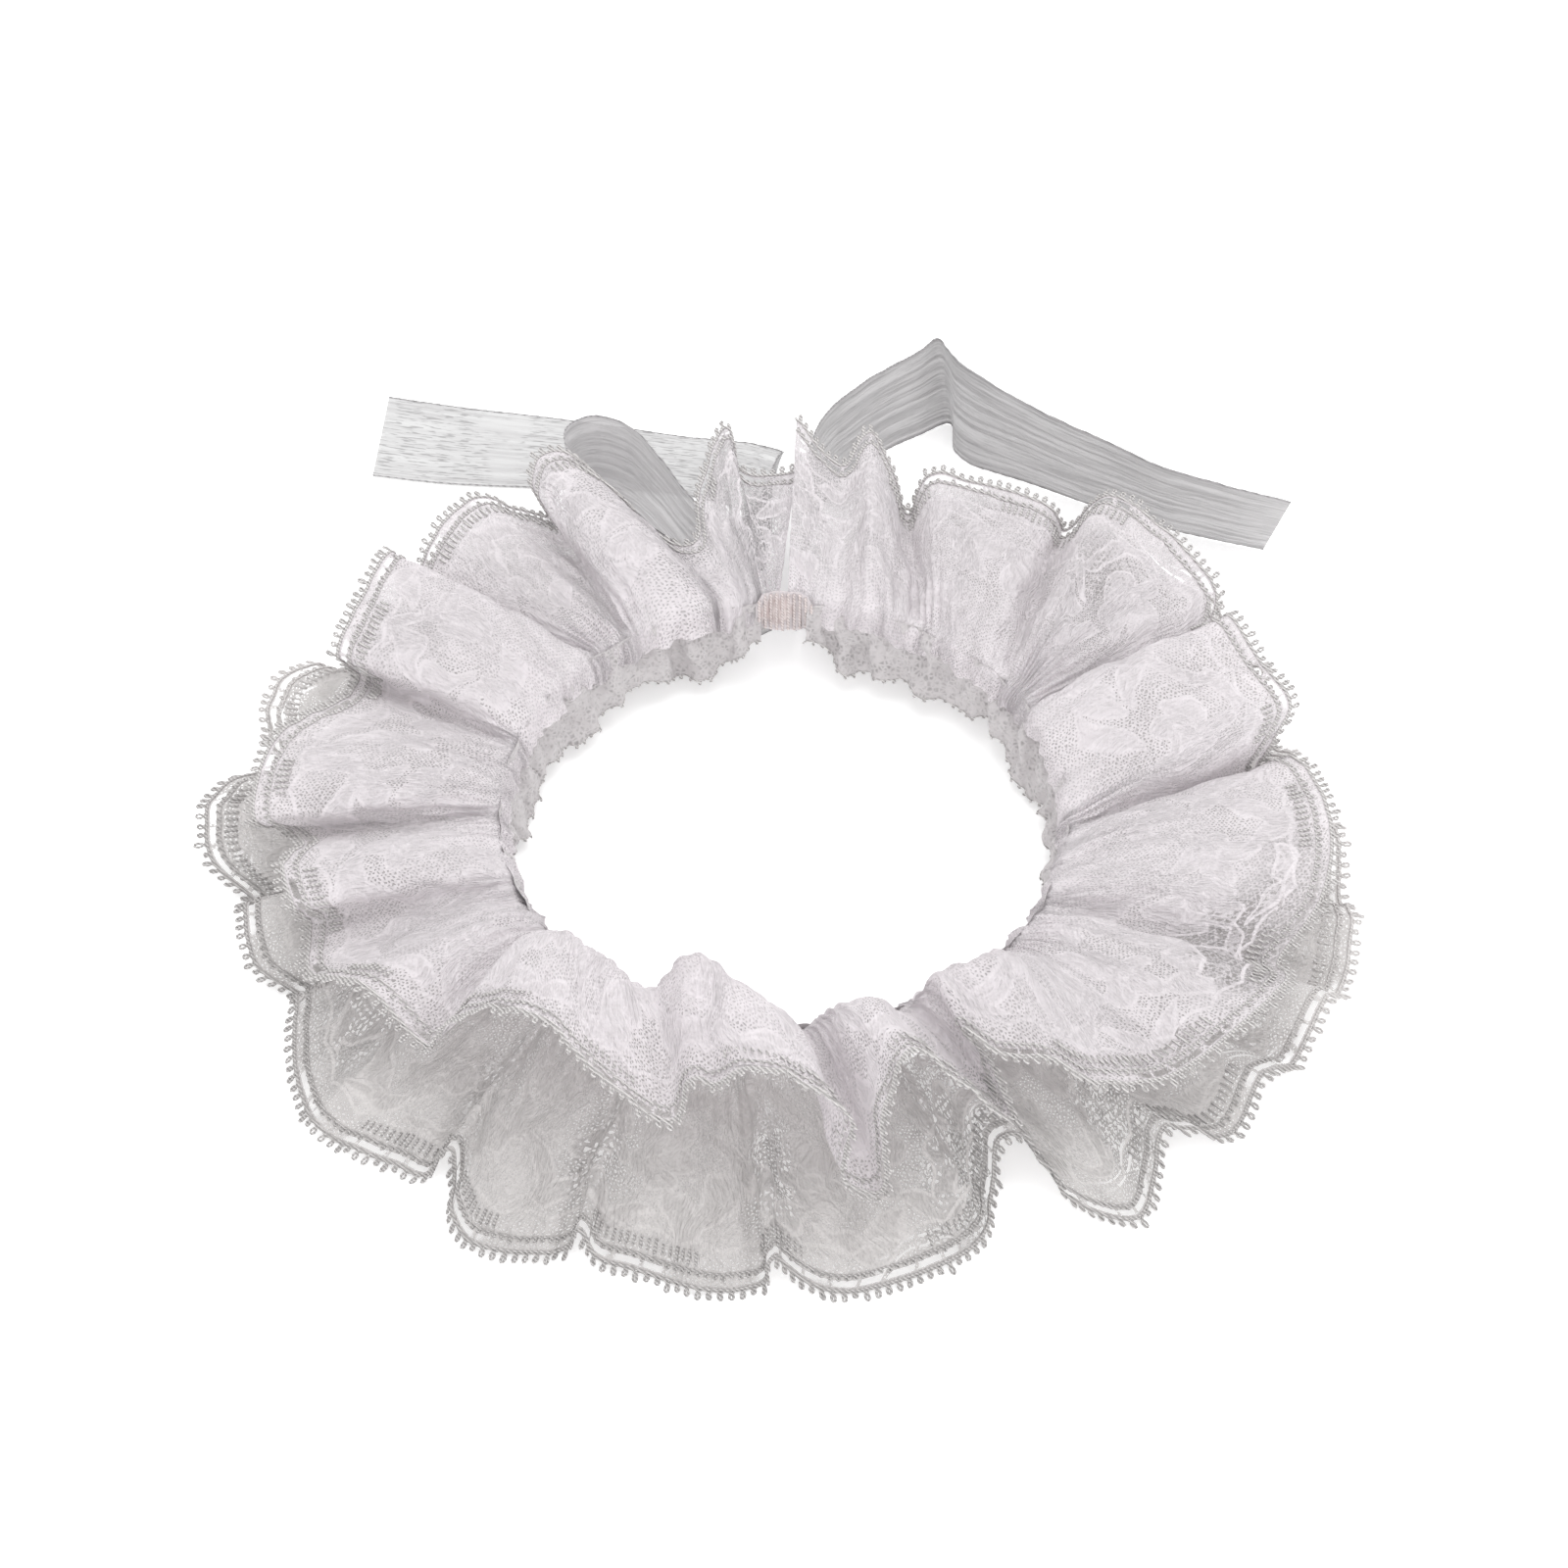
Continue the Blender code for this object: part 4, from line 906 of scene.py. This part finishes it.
class CollarColours(bpy.types.PropertyGroup):
    """Colours of the cloths, threads and table."""

    upper_thread: bpy.props.FloatVectorProperty(
        name="Upper lace", description="Thread of the upper tier", default=colour("#ebe6e9"), subtype="COLOR",
        size=4,
    )
    upper_shade: bpy.props.FloatVectorProperty(
        name="Upper net", description="Open net of the upper tier", default=colour("#c6c2c3"), subtype="COLOR",
        size=4,
    )
    # The lower tier's thread and net are the upper lace's drawn darker: painted shade for the tier that lies under
    # the upper one.
    lower_thread_shaded: bpy.props.FloatVectorProperty(
        name="Lower lace", description="Thread of the lower tier", default=colour("#cecbca"), subtype="COLOR",
        size=4,
    )
    lower_net_shaded: bpy.props.FloatVectorProperty(
        name="Lower net", description="Open net of the lower tier", default=colour("#b0adac"), subtype="COLOR",
        size=4,
    )
    edging: bpy.props.FloatVectorProperty(
        name="Edging", description="Cord and picots of the hems", default=colour("#d3d0cf"), subtype="COLOR", size=4
    )
    ribbon: bpy.props.FloatVectorProperty(
        name="Ties", description="Sheer ribbon of the ties", default=colour("#bab8b9"), subtype="COLOR", size=4
    )
    closure: bpy.props.FloatVectorProperty(
        name="Closure", description="Thread of the darned closure", default=colour("#eadfdd"), subtype="COLOR",
        size=4,
    )
    table: bpy.props.FloatVectorProperty(
        name="Table", description="Surface under the collar", default=colour("#fbfbfb"), subtype="COLOR", size=4
    )


# The rolled heading of the upper tier inside the neck: how far in from the seam, and how far above it, in mm. It
# starts at a turn beside the closure and has its whole depth some degrees on. Its lumps are noises of cloth_noise.
HEADING = ((3.6, -6.5), (3.4, -4.0), (2.6, -2.0), (1.3, -0.6))
HEADING_START, HEADING_RISE = 3.0, 6.0
HEADING_LUMPS = ((1.0, 9.0, 43), (0.7, 3.6, 44))


def with_heading(grid):
    """The grid of a tier with its heading turned over, unevenly, into the neck ahead of the seam."""
    seam = grid[:, :1]
    along = lengths_along(seam, 0)
    inward = -seam * np.array([1.0, 1.0, 0.0])
    inward /= np.linalg.norm(inward, axis=2, keepdims=True)
    from_back = np.degrees(np.arctan2(np.abs(seam[:, :, :1]), seam[:, :, 1:2]))
    fade = np.clip((from_back - HEADING_START) / HEADING_RISE, 0.0, 1.0)
    turned = []
    for reach, rise in HEADING:
        lumps = sum(size * cloth_noise(along, 0 * along + rise, *noise) for size, *noise in HEADING_LUMPS)
        reach = reach * (1 + 0.28 * lumps[:, :, None]) * fade
        turned.append(seam + inward * reach + np.array([0.0, 0.0, rise]))
    return np.concatenate([*turned, grid], axis=1)


# Where the open net of a tier shows most, and where that net gets painted shade as if shadowed layers showed through
# it: the turn and the distance in from the edge of the middle of each patch, its half length in degrees and half
# width in millimetres, and how open and how shaded it is.
Patch = namedtuple("Patch", "turn inset spread depth open")

UPPER_OPEN_SHADED = [Patch(*row) for row in (
    (5, 24, 6, 28, 1.0), (29, 12, 2, 10, 0.5), (38, 20, 4, 9, 0.4), (60, 14, 5, 8, 0.35), (92, 16, 4, 9, 0.4),
    (112, 20, 6, 10, 0.3), (250, 11, 8, 12, 1.3), (263, 8, 5, 7, 0.5), (318, 22, 7, 12, 0.6),
    (336, 14, 3, 10, 0.4), (355, 22, 5, 22, 0.5),
)]
LOWER_OPEN_SHADED = [Patch(*row) for row in (
    (118, 16, 7, 14, 0.8), (139, 24, 3, 14, 0.7), (157, 20, 3, 14, 0.8), (180, 22, 3, 16, 1.0),
    (204, 12, 6, 16, 1.2), (207, 26, 3, 12, 1.0), (223, 12, 4, 16, 0.9), (245, 14, 7, 12, 0.6),
    (262, 14, 7, 12, 0.7), (75, 12, 9, 10, 0.6),
)]


def openness_and_shade_over(grid, inset, patches):
    """How open the net is at each point of a tier, from its patches, which is also how much painted shade it gets.
    """
    turn = np.degrees(np.arctan2(-grid[:, -1:, 0], grid[:, -1:, 1])) % 360
    total = np.zeros(inset.shape)
    for patch in patches:
        round_neck, outwards = (turn - patch.turn) / patch.spread, (inset - patch.inset) / patch.depth
        total += patch.open * np.exp(-((round_neck**2 + outwards**2) ** 1.5))
    return total


# One tier: its folds, how many points round and across, the height and outset of its seam, where its cloth bows
# most, its heading, its patches of open net with painted shade, the depth of its ripples in mm and the seed of its
# unevenness.
Tier = namedtuple("Tier", "folds rows columns seam_height seam_outset bow_peak heading patches ripple seed")
UPPER_TIER = Tier(UPPER_FOLDS, 1400, 30, UPPER_SEAM_HEIGHT, 0.0, UPPER_BOW_PEAK, True, UPPER_OPEN_SHADED, 0.3, 11)
LOWER_TIER = Tier(
    LOWER_FOLDS, 1300, 30, LOWER_SEAM_HEIGHT, LOWER_SEAM_OUTSET, LOWER_BOW_PEAK, False, LOWER_OPEN_SHADED, 0.9, 29
)
# How far from the seam, in mm, the cloth gets painted light, drawn lighter against the shade in the creases by the
# neck.
SEAM_LIGHT_REACH = 17.0


def tier_cloth(name, tier, material):
    """One tier of lace over the folds of its solid, with its finished grid and the distance in from its edge."""
    sizes = bpy.context.scene.collar_sizes
    share = np.linspace(0.0, 1.0, tier.columns)
    grid = tier_surface(tier.folds, tier.rows, share, tier.seam_height, tier.seam_outset, tier.bow_peak)
    if tier.heading:
        grid = with_heading(grid)
        share = np.concatenate([np.zeros(len(HEADING)), share])
    along, inset = strip_coordinates(grid)
    gather, crumple = sizes.gather / MM, sizes.crumple / MM
    grid = crumpled(grid, along, inset, share[None, :], gather, crumple, tier.ripple, tier.seed)
    marks = {
        "openness": openness_and_shade_over(grid, inset, tier.patches),
        # Painted light: 1 at the seam and fading over the reach above, for the shade in the creases by the neck.
        "near_seam": np.exp(-((lengths_along(grid, 1) / SEAM_LIGHT_REACH) ** 2)),
    }
    return cloth_object(name, grid, along, inset, material, True, marks), grid, inset


# The lines of thread along a hem, in mm: how far in from the edge each runs, and how far it lies above the cloth.
HEM_CORD_LINE = (0.2, 0.2)
INNER_CHAIN_LINE = (3.3, 0.2)
PICOT_LINE = (0.0, 0.0)
STITCH_LINE = (5.6, 0.3)


def edging(prefix, grid, inset, material, seed):
    """The hem of a tier: a laid cord, an inner chain of small loops, a looped picot edge and upright stitches."""
    sizes = bpy.context.scene.collar_sizes
    thread = sizes.thread_radius
    cord = {"Pitch": 0.0014, "Thread Radius": sizes.cord_radius}
    chain = {"Pitch": 0.0017, "Reach": 0.0010, "Loop": 0.0007, "Thread Radius": thread * 0.8}
    picots = {"Pitch": sizes.picot_pitch, "Reach": sizes.picot_reach, "Loop": sizes.picot_pitch * 0.42}
    picots["Thread Radius"] = thread
    stitches = {"Pitch": 0.0015, "Length": 0.0026, "Width": 0.00028, "Covered": 0.5, "Seed": seed}
    made = []
    for label, line, make_tree, values in (
        ("hem_cord", HEM_CORD_LINE, cord_tree, cord),
        ("inner_chain", INNER_CHAIN_LINE, picot_tree, chain),
        ("picots", PICOT_LINE, picot_tree, picots),
        ("stitches", STITCH_LINE, bar_tree, stitches),
    ):
        path = path_object(f"{prefix}_{label}", *line_in_cloth(grid, inset, *line))
        made.append(made_by_tree(path, make_tree(), material, values))
    for piece in made:
        dressed(piece, (), "lace")
    return made


class COLLAR_OT_upper_tier(bpy.types.Operator):
    """Makes the upper tier of lace with its corded, looped hem."""

    bl_idname = "collar.upper_tier"
    bl_label = "Upper lace tier"

    def execute(self, context):
        sizes, colours = context.scene.collar_sizes, context.scene.collar_colours
        lace = lace_material(
            "corded_lace_upper", colours.upper_thread[:], colours.upper_shade[:], sizes,
            sheer=0.5, seed=1, slots_from=0.5, cord_show=0.55, pale=0.0,
        )
        cloth, grid, inset = tier_cloth("upper_lace_tier", UPPER_TIER, lace)
        dressed(cloth, ("upper_ruffle",), "lace")
        cord = thread_material("twisted_hem_cord", colours.edging[:], colour("#b4b1b0"), 0.0011)
        trims = edging("upper", grid, inset, cord, 3)
        return {"FINISHED"}


class COLLAR_OT_lower_tier(bpy.types.Operator):
    """Makes the lower tier of lace with its corded, looped hem."""

    bl_idname = "collar.lower_tier"
    bl_label = "Lower lace tier"

    def execute(self, context):
        sizes, colours = context.scene.collar_sizes, context.scene.collar_colours
        # The lower tier's lace takes the darker colours, painted shade, and pale=0.6 paints light on it from its
        # right side round the back.
        lace = lace_material(
            "corded_lace_lower", colours.lower_thread_shaded[:], colours.lower_net_shaded[:], sizes,
            sheer=0.9, seed=5, slots_from=0.42, cord_show=0.75, pale=0.6,
        )
        cloth, grid, inset = tier_cloth("lower_lace_tier", LOWER_TIER, lace)
        dressed(cloth, ("lower_ruffle",), "lace")
        # The lower hem's cord is the edging drawn darker, painted shade, and pale=0.7 paints light on it from its
        # right side round the back.
        cord = thread_material("twisted_hem_cord_lower", colour("#bfbcbb"), colour("#a4a1a0"), 0.0011, pale=0.7)
        trims = edging("lower", grid, inset, cord, 8)
        return {"FINISHED"}


# The frill, in mm: its top, its hem and the waves of that hem as how many go round and how deep they are, its
# distance inside the seam, and what its pleats and lobes add to that towards the hem.
FRILL_TOP = 21.2
FRILL_BOTTOM = 5.0
FRILL_END_HEM = 13.0
FRILL_HEM_WAVES = ((5, 1.8), (13, 1.4))
FRILL_GAP = 1.5
FRILL_SLOPE = 1.4
FRILL_PLEATS, FRILL_PLEAT_DEPTH = 42, 0.8
FRILL_LOBES, FRILL_LOBE_DEPTH = 11, 0.8
FRILL_END_TURN = 4.6
FRILL_END_FADE = 7.0
FRILL_ROWS, FRILL_COLUMNS = 1100, 26
FRILL_LUMPS = ((1.3, 8.0, 51), (0.45, 4.2, 52))


class COLLAR_OT_frill(bpy.types.Operator):
    """Makes the crumpled frill inside the neck."""

    bl_idname = "collar.frill"
    bl_label = "Inner frill"

    def execute(self, context):
        turn = np.linspace(FRILL_END_TURN, 360 - FRILL_END_TURN, FRILL_ROWS)[:, None]
        share = np.linspace(0.0, 1.0, FRILL_COLUMNS)[None, :]
        angle = np.radians(turn)
        hem = FRILL_BOTTOM + sum(size * np.sin(count * angle + count) for count, size in FRILL_HEM_WAVES)
        from_back = np.minimum(turn, 360 - turn)
        hem += (FRILL_END_HEM - hem) * np.exp(-(((from_back - FRILL_END_TURN) / FRILL_END_FADE) ** 2))
        pleats = FRILL_PLEAT_DEPTH * (1 + np.sin(FRILL_PLEATS * angle + 1.5 * np.sin(5 * angle)))
        lobes = FRILL_LOBE_DEPTH * (1 + np.sin(FRILL_LOBES * angle))
        inwards = FRILL_GAP + FRILL_SLOPE * share + pleats * (0.25 + 0.75 * share) + lobes * share
        radius = neck_radius(turn) - inwards
        grid = polar(turn + 0 * share, radius, FRILL_TOP + (hem - FRILL_TOP) * share)
        along, inset = strip_coordinates(grid)
        lumps = sum(size * cloth_noise(along, inset, *noise) for size, *noise in FRILL_LUMPS)
        grid += normals_of(grid) * (lumps * np.clip(share / 0.2, 0.25, 1))[:, :, None]
        colours = context.scene.collar_colours
        near_seam = crumpled_lace_material(colour("#c3bfc0"), colour("#989595"))
        cloth = cloth_object("inner_lace_frill", grid, along, inset, near_seam, True)
        dressed(cloth, ("inner_frill",), "lace")
        cord = thread_material("frill_edge_cord", colours.edging[:], colour("#b3b0af"), 0.0011)
        points, outward = line_in_cloth(grid, inset, 0.0)
        values = {"Pitch": 0.0024, "Reach": 0.0008, "Loop": 0.0008, "Thread Radius": 0.0002}
        edge = made_by_tree(path_object("frill_edge", points, outward), picot_tree(), cord, values)
        dressed(edge, (), "lace")
        return {"FINISHED"}


TAPE_BOTTOM, TAPE_WIDTH = 9.0, 10.6
TAPE_END_TURN = 1.5
TAPE_END_LIFT, TAPE_END_FADE = 4.8, 6.0


class COLLAR_OT_band(bpy.types.Operator):
    """Makes the tape that the tiers, the frill and the ties are sewn to."""

    bl_idname = "collar.band"
    bl_label = "Neck tape"

    def execute(self, context):
        turn = np.linspace(TAPE_END_TURN, 360 - TAPE_END_TURN, 420)[:, None]
        lifted = TAPE_END_LIFT * np.exp(-((np.minimum(turn, 360 - turn) / TAPE_END_FADE) ** 2))
        share = np.linspace(0.0, 1.0, 8)[None, :]
        height = TAPE_BOTTOM + lifted + (TAPE_WIDTH - lifted) * share
        grid = polar(turn + 0 * height, neck_radius(turn) + 0 * height, height)
        along, inset = strip_coordinates(grid)
        grid += normals_of(grid) * (0.25 * cloth_noise(along, inset, 9.0, 61))[:, :, None]
        tape = cloth_object(
            "neck_tape", grid, along, inset, tape_material(colour("#dad6d7"), colour("#c0bcbd")), False
        )
        dressed(tape, ("neck_band",), "band_tape")
        return {"FINISHED"}


# The closure patch, in mm: half its length round the neck, its lowest and highest edge, the radius that it follows
# and the depth of its puckers. Its corners are trimmed by two powers of the distance from its middle.
PATCH_HALF = 6.2
PATCH_BOTTOM, PATCH_HEIGHT = 13.0, 12.0
PATCH_RADIUS = 63.6
PATCH_TRIM = ((1.0, 2), (3.2, 6))
PUCKER_PITCH, PUCKER_DEPTH = 6.0, 0.45
PATCH_MIDDLE = (0.0065, 0.0054)


class COLLAR_OT_closure(bpy.types.Operator):
    """Makes the puckered, darned patch that draws the two ends of the tape together."""

    bl_idname = "collar.closure"
    bl_label = "Darned closure"

    def execute(self, context):
        x = np.linspace(-PATCH_HALF, PATCH_HALF, 60)[:, None]
        share = np.linspace(0.0, 1.0, 40)[None, :]
        trim = sum(size * (x / PATCH_HALF) ** power for size, power in PATCH_TRIM)
        height = PATCH_BOTTOM + trim + (PATCH_HEIGHT - 2 * trim) * share
        pucker = PUCKER_DEPTH * (1 + np.cos(2 * pi * x / PUCKER_PITCH)) * np.sin(pi * share)
        depth = np.sqrt(PATCH_RADIUS**2 - x**2) - pucker
        grid = np.stack([x + 0 * share, depth, height], axis=2)
        along, inset = strip_coordinates(grid)
        grid[:, :, 1] += 0.28 * cloth_noise(along, inset, 3.0, 71) - 0.2
        colours = context.scene.collar_colours
        darning = thread_material("darning_thread", colours.closure[:], colour("#d6cac8"), 0.0009)
        darned = darned_material(colours.closure[:], colour("#ddd6d8"), colour("#d2c2c0"), PATCH_MIDDLE)
        patch = cloth_object("darned_closure", grid, along, inset, darned, False)
        dressed(patch, ("closure_patch",), "closure_thread")
        made = []
        for count, row in enumerate(range(4, 60, 6)):
            points = grid[row, 2:-2] + np.array([0.0, -0.35, 0.0])
            outward = np.gradient(points, axis=0)
            path = path_object(f"closure_stitch_{count}", points, outward)
            values = {"Pitch": 0.0016, "Thread Radius": 0.00032}
            made.append(made_by_tree(path, cord_tree(), darning, values))
        for stitch in made:
            dressed(stitch, (), "closure_thread")
        return {"FINISHED"}


TIE_LOWEST = 0.3
SELVEDGE_LOWEST = 0.35

# One row for each tie: its side, sections, points along, length in metres, where along it the painted light of its
# flat tail starts and is whole, as shares of that length, its colour and that of its streaks, and its seed.
TIES = (
    # The left tie's colour and streaks are the ribbon's drawn lighter: painted light on a loop that lies in the
    # shade of the ruffles.
    ("left", LEFT_RIBBON, 520, 0.258, (0.55, 0.62), "#dad8d9", "#aeacad", 80),
    ("right", RIGHT_RIBBON, 400, 0.189, (2.0, 3.0), None, "#8f8d8e", 90),
)


def tie_cloth(name, sections, rows, material, seed):
    """One tie over the sections of its solid, with the slight waviness of thin ribbon."""
    table = spline(sections, rows, np.ones(6))
    share = np.linspace(0.0, 1.0, 15)[None, :, None]
    grid = table[:, None, :3] * (1 - share) + table[:, None, 3:] * share
    along, inset = strip_coordinates(grid)
    inset *= RIBBON_WIDTH / inset[:, :1]
    free = np.minimum(grid[:, :, 2] - TIE_LOWEST, 1.0)
    sway = 0.35 * cloth_noise(along, inset * 0.3, 24, seed) + 0.12 * cloth_noise(along, inset, 7, seed + 1)
    grid = grid + normals_of(grid) * (sway * np.clip(free, 0.2, 1))[:, :, None]
    return cloth_object(name, grid, along, inset, material, True), grid


class COLLAR_OT_ties(bpy.types.Operator):
    """Makes the two sheer ties at the back."""

    bl_idname = "collar.ties"
    bl_label = "Ties"

    def execute(self, context):
        for side, sections, rows, length, painted_light_span, near, streak, seed in TIES:
            # The left tie's own colour is painted light; the right tie takes the ribbon's colour.
            tint = colour(near) if near else context.scene.collar_colours.ribbon[:]
            # The lighter colour given here is painted light for the part of the tie that lies flat.
            ribbon = organza_material("organza_" + side, tint, colour(streak), colour("#d6d6d6"), length, painted_light_span)
            cloth, grid = tie_cloth(side + "_tie", sections, rows, ribbon, seed)
            dressed(cloth, ("ribbon_" + side,), "ribbon")
            edge = thread_material("selvedge_" + side, colour("#b4b2b3"), colour("#9b999a"), 0.0015)
            trims = []
            values = {"Pitch": 0.003, "Thread Radius": 0.00016}
            for label, column in (("near", 0), ("far", -1)):
                points = grid[:, column].copy()
                points[:, 2] = np.maximum(points[:, 2], SELVEDGE_LOWEST)
                path = path_object(f"{side}_tie_{label}_selvedge", points, np.gradient(points, axis=0))
                trims.append(made_by_tree(path, cord_tree(), edge, values))
            for trim in trims:
                dressed(trim, (), "ribbon")
        return {"FINISHED"}


CAMERA_PLACE = (0.00217, -0.61996, 0.64741)
CAMERA_TILT = 44.0
CAMERA_LENS = 95.58
TABLE_HALF = 3.0
ROOM_LIGHT = 0.96
SOFTBOXES = (
    ("overhead_softbox", (0.15, 0.25, 1.3), (-10, 8, 0), 1.0, 6.8),
    ("front_softbox", (0.12, -1.3, 0.75), (60, 0, 5), 1.1, 4.9),
)


class COLLAR_OT_stage(bpy.types.Operator):
    """Makes the pale light table, the soft studio light and the camera."""

    bl_idname = "collar.stage"
    bl_label = "Stage"

    def execute(self, context):
        scene = context.scene
        mesh = bpy.data.meshes.new("light_table")
        corners = [(x * TABLE_HALF, y * TABLE_HALF, 0) for x, y in ((-1, -1), (1, -1), (1, 1), (-1, 1))]
        mesh.from_pydata(corners, [], [(0, 1, 2, 3)])
        mesh.materials.append(table_material(scene.collar_colours.table[:]))
        plain_object("light_table", mesh)

        world = bpy.data.worlds.new("studio")
        world.use_nodes = True
        background = world.node_tree.nodes["Background"]
        background.inputs["Color"].default_value = colour("#ffffff")
        background.inputs["Strength"].default_value = ROOM_LIGHT
        scene.world = world
        for name, place, turn, size, power in SOFTBOXES:
            lamp = bpy.data.lights.new(name, "AREA")
            lamp.size = size
            lamp.energy = power
            made = plain_object(name, lamp)
            made.location = place
            made.rotation_euler = [radians(angle) for angle in turn]
        camera = bpy.data.cameras.new("camera")
        camera.lens = CAMERA_LENS
        camera.sensor_width = 36.0
        made = plain_object("camera", camera)
        made.location = CAMERA_PLACE
        made.rotation_euler = (radians(CAMERA_TILT), 0.0, 0.0)
        scene.camera = made
        scene.view_settings.view_transform = "Standard"
        # Light that has passed several layers of sheer cloth adds nothing that shows, so it isn't followed further.
        scene.cycles.max_bounces = 5
        scene.cycles.diffuse_bounces = 3
        scene.cycles.transmission_bounces = 2
        scene.cycles.transparent_max_bounces = 8
        return {"FINISHED"}


class COLLAR_PT_panel(bpy.types.Panel):
    """Lists the pieces of the collar, its sizes and its colours."""

    bl_idname = "COLLAR_PT_panel"
    bl_label = "Ruffled lace collar"
    bl_space_type = "VIEW_3D"
    bl_region_type = "UI"
    bl_category = "Collar"

    def draw(self, context):
        for group in (context.scene.collar_sizes, context.scene.collar_colours):
            box = self.layout.box()
            for name in group.__annotations__:
                box.prop(group, name)
        for operator in OPERATORS:
            self.layout.operator(operator.bl_idname)


OPERATORS = (
    COLLAR_OT_band,
    COLLAR_OT_upper_tier,
    COLLAR_OT_lower_tier,
    COLLAR_OT_frill,
    COLLAR_OT_closure,
    COLLAR_OT_ties,
    COLLAR_OT_stage,
)
CLASSES = (CollarSizes, CollarColours, *OPERATORS, COLLAR_PT_panel)


def register():
    for each in CLASSES:
        bpy.utils.register_class(each)
    bpy.types.Scene.collar_sizes = bpy.props.PointerProperty(type=CollarSizes)
    bpy.types.Scene.collar_colours = bpy.props.PointerProperty(type=CollarColours)


def unregister():
    del bpy.types.Scene.collar_colours
    del bpy.types.Scene.collar_sizes
    for each in reversed(CLASSES):
        bpy.utils.unregister_class(each)


def main():
    register()
    bpy.ops.collar.band()
    bpy.ops.collar.upper_tier()
    bpy.ops.collar.lower_tier()
    bpy.ops.collar.frill()
    bpy.ops.collar.closure()
    bpy.ops.collar.ties()
    bpy.ops.collar.stage()


if __name__ == "__main__":
    main()
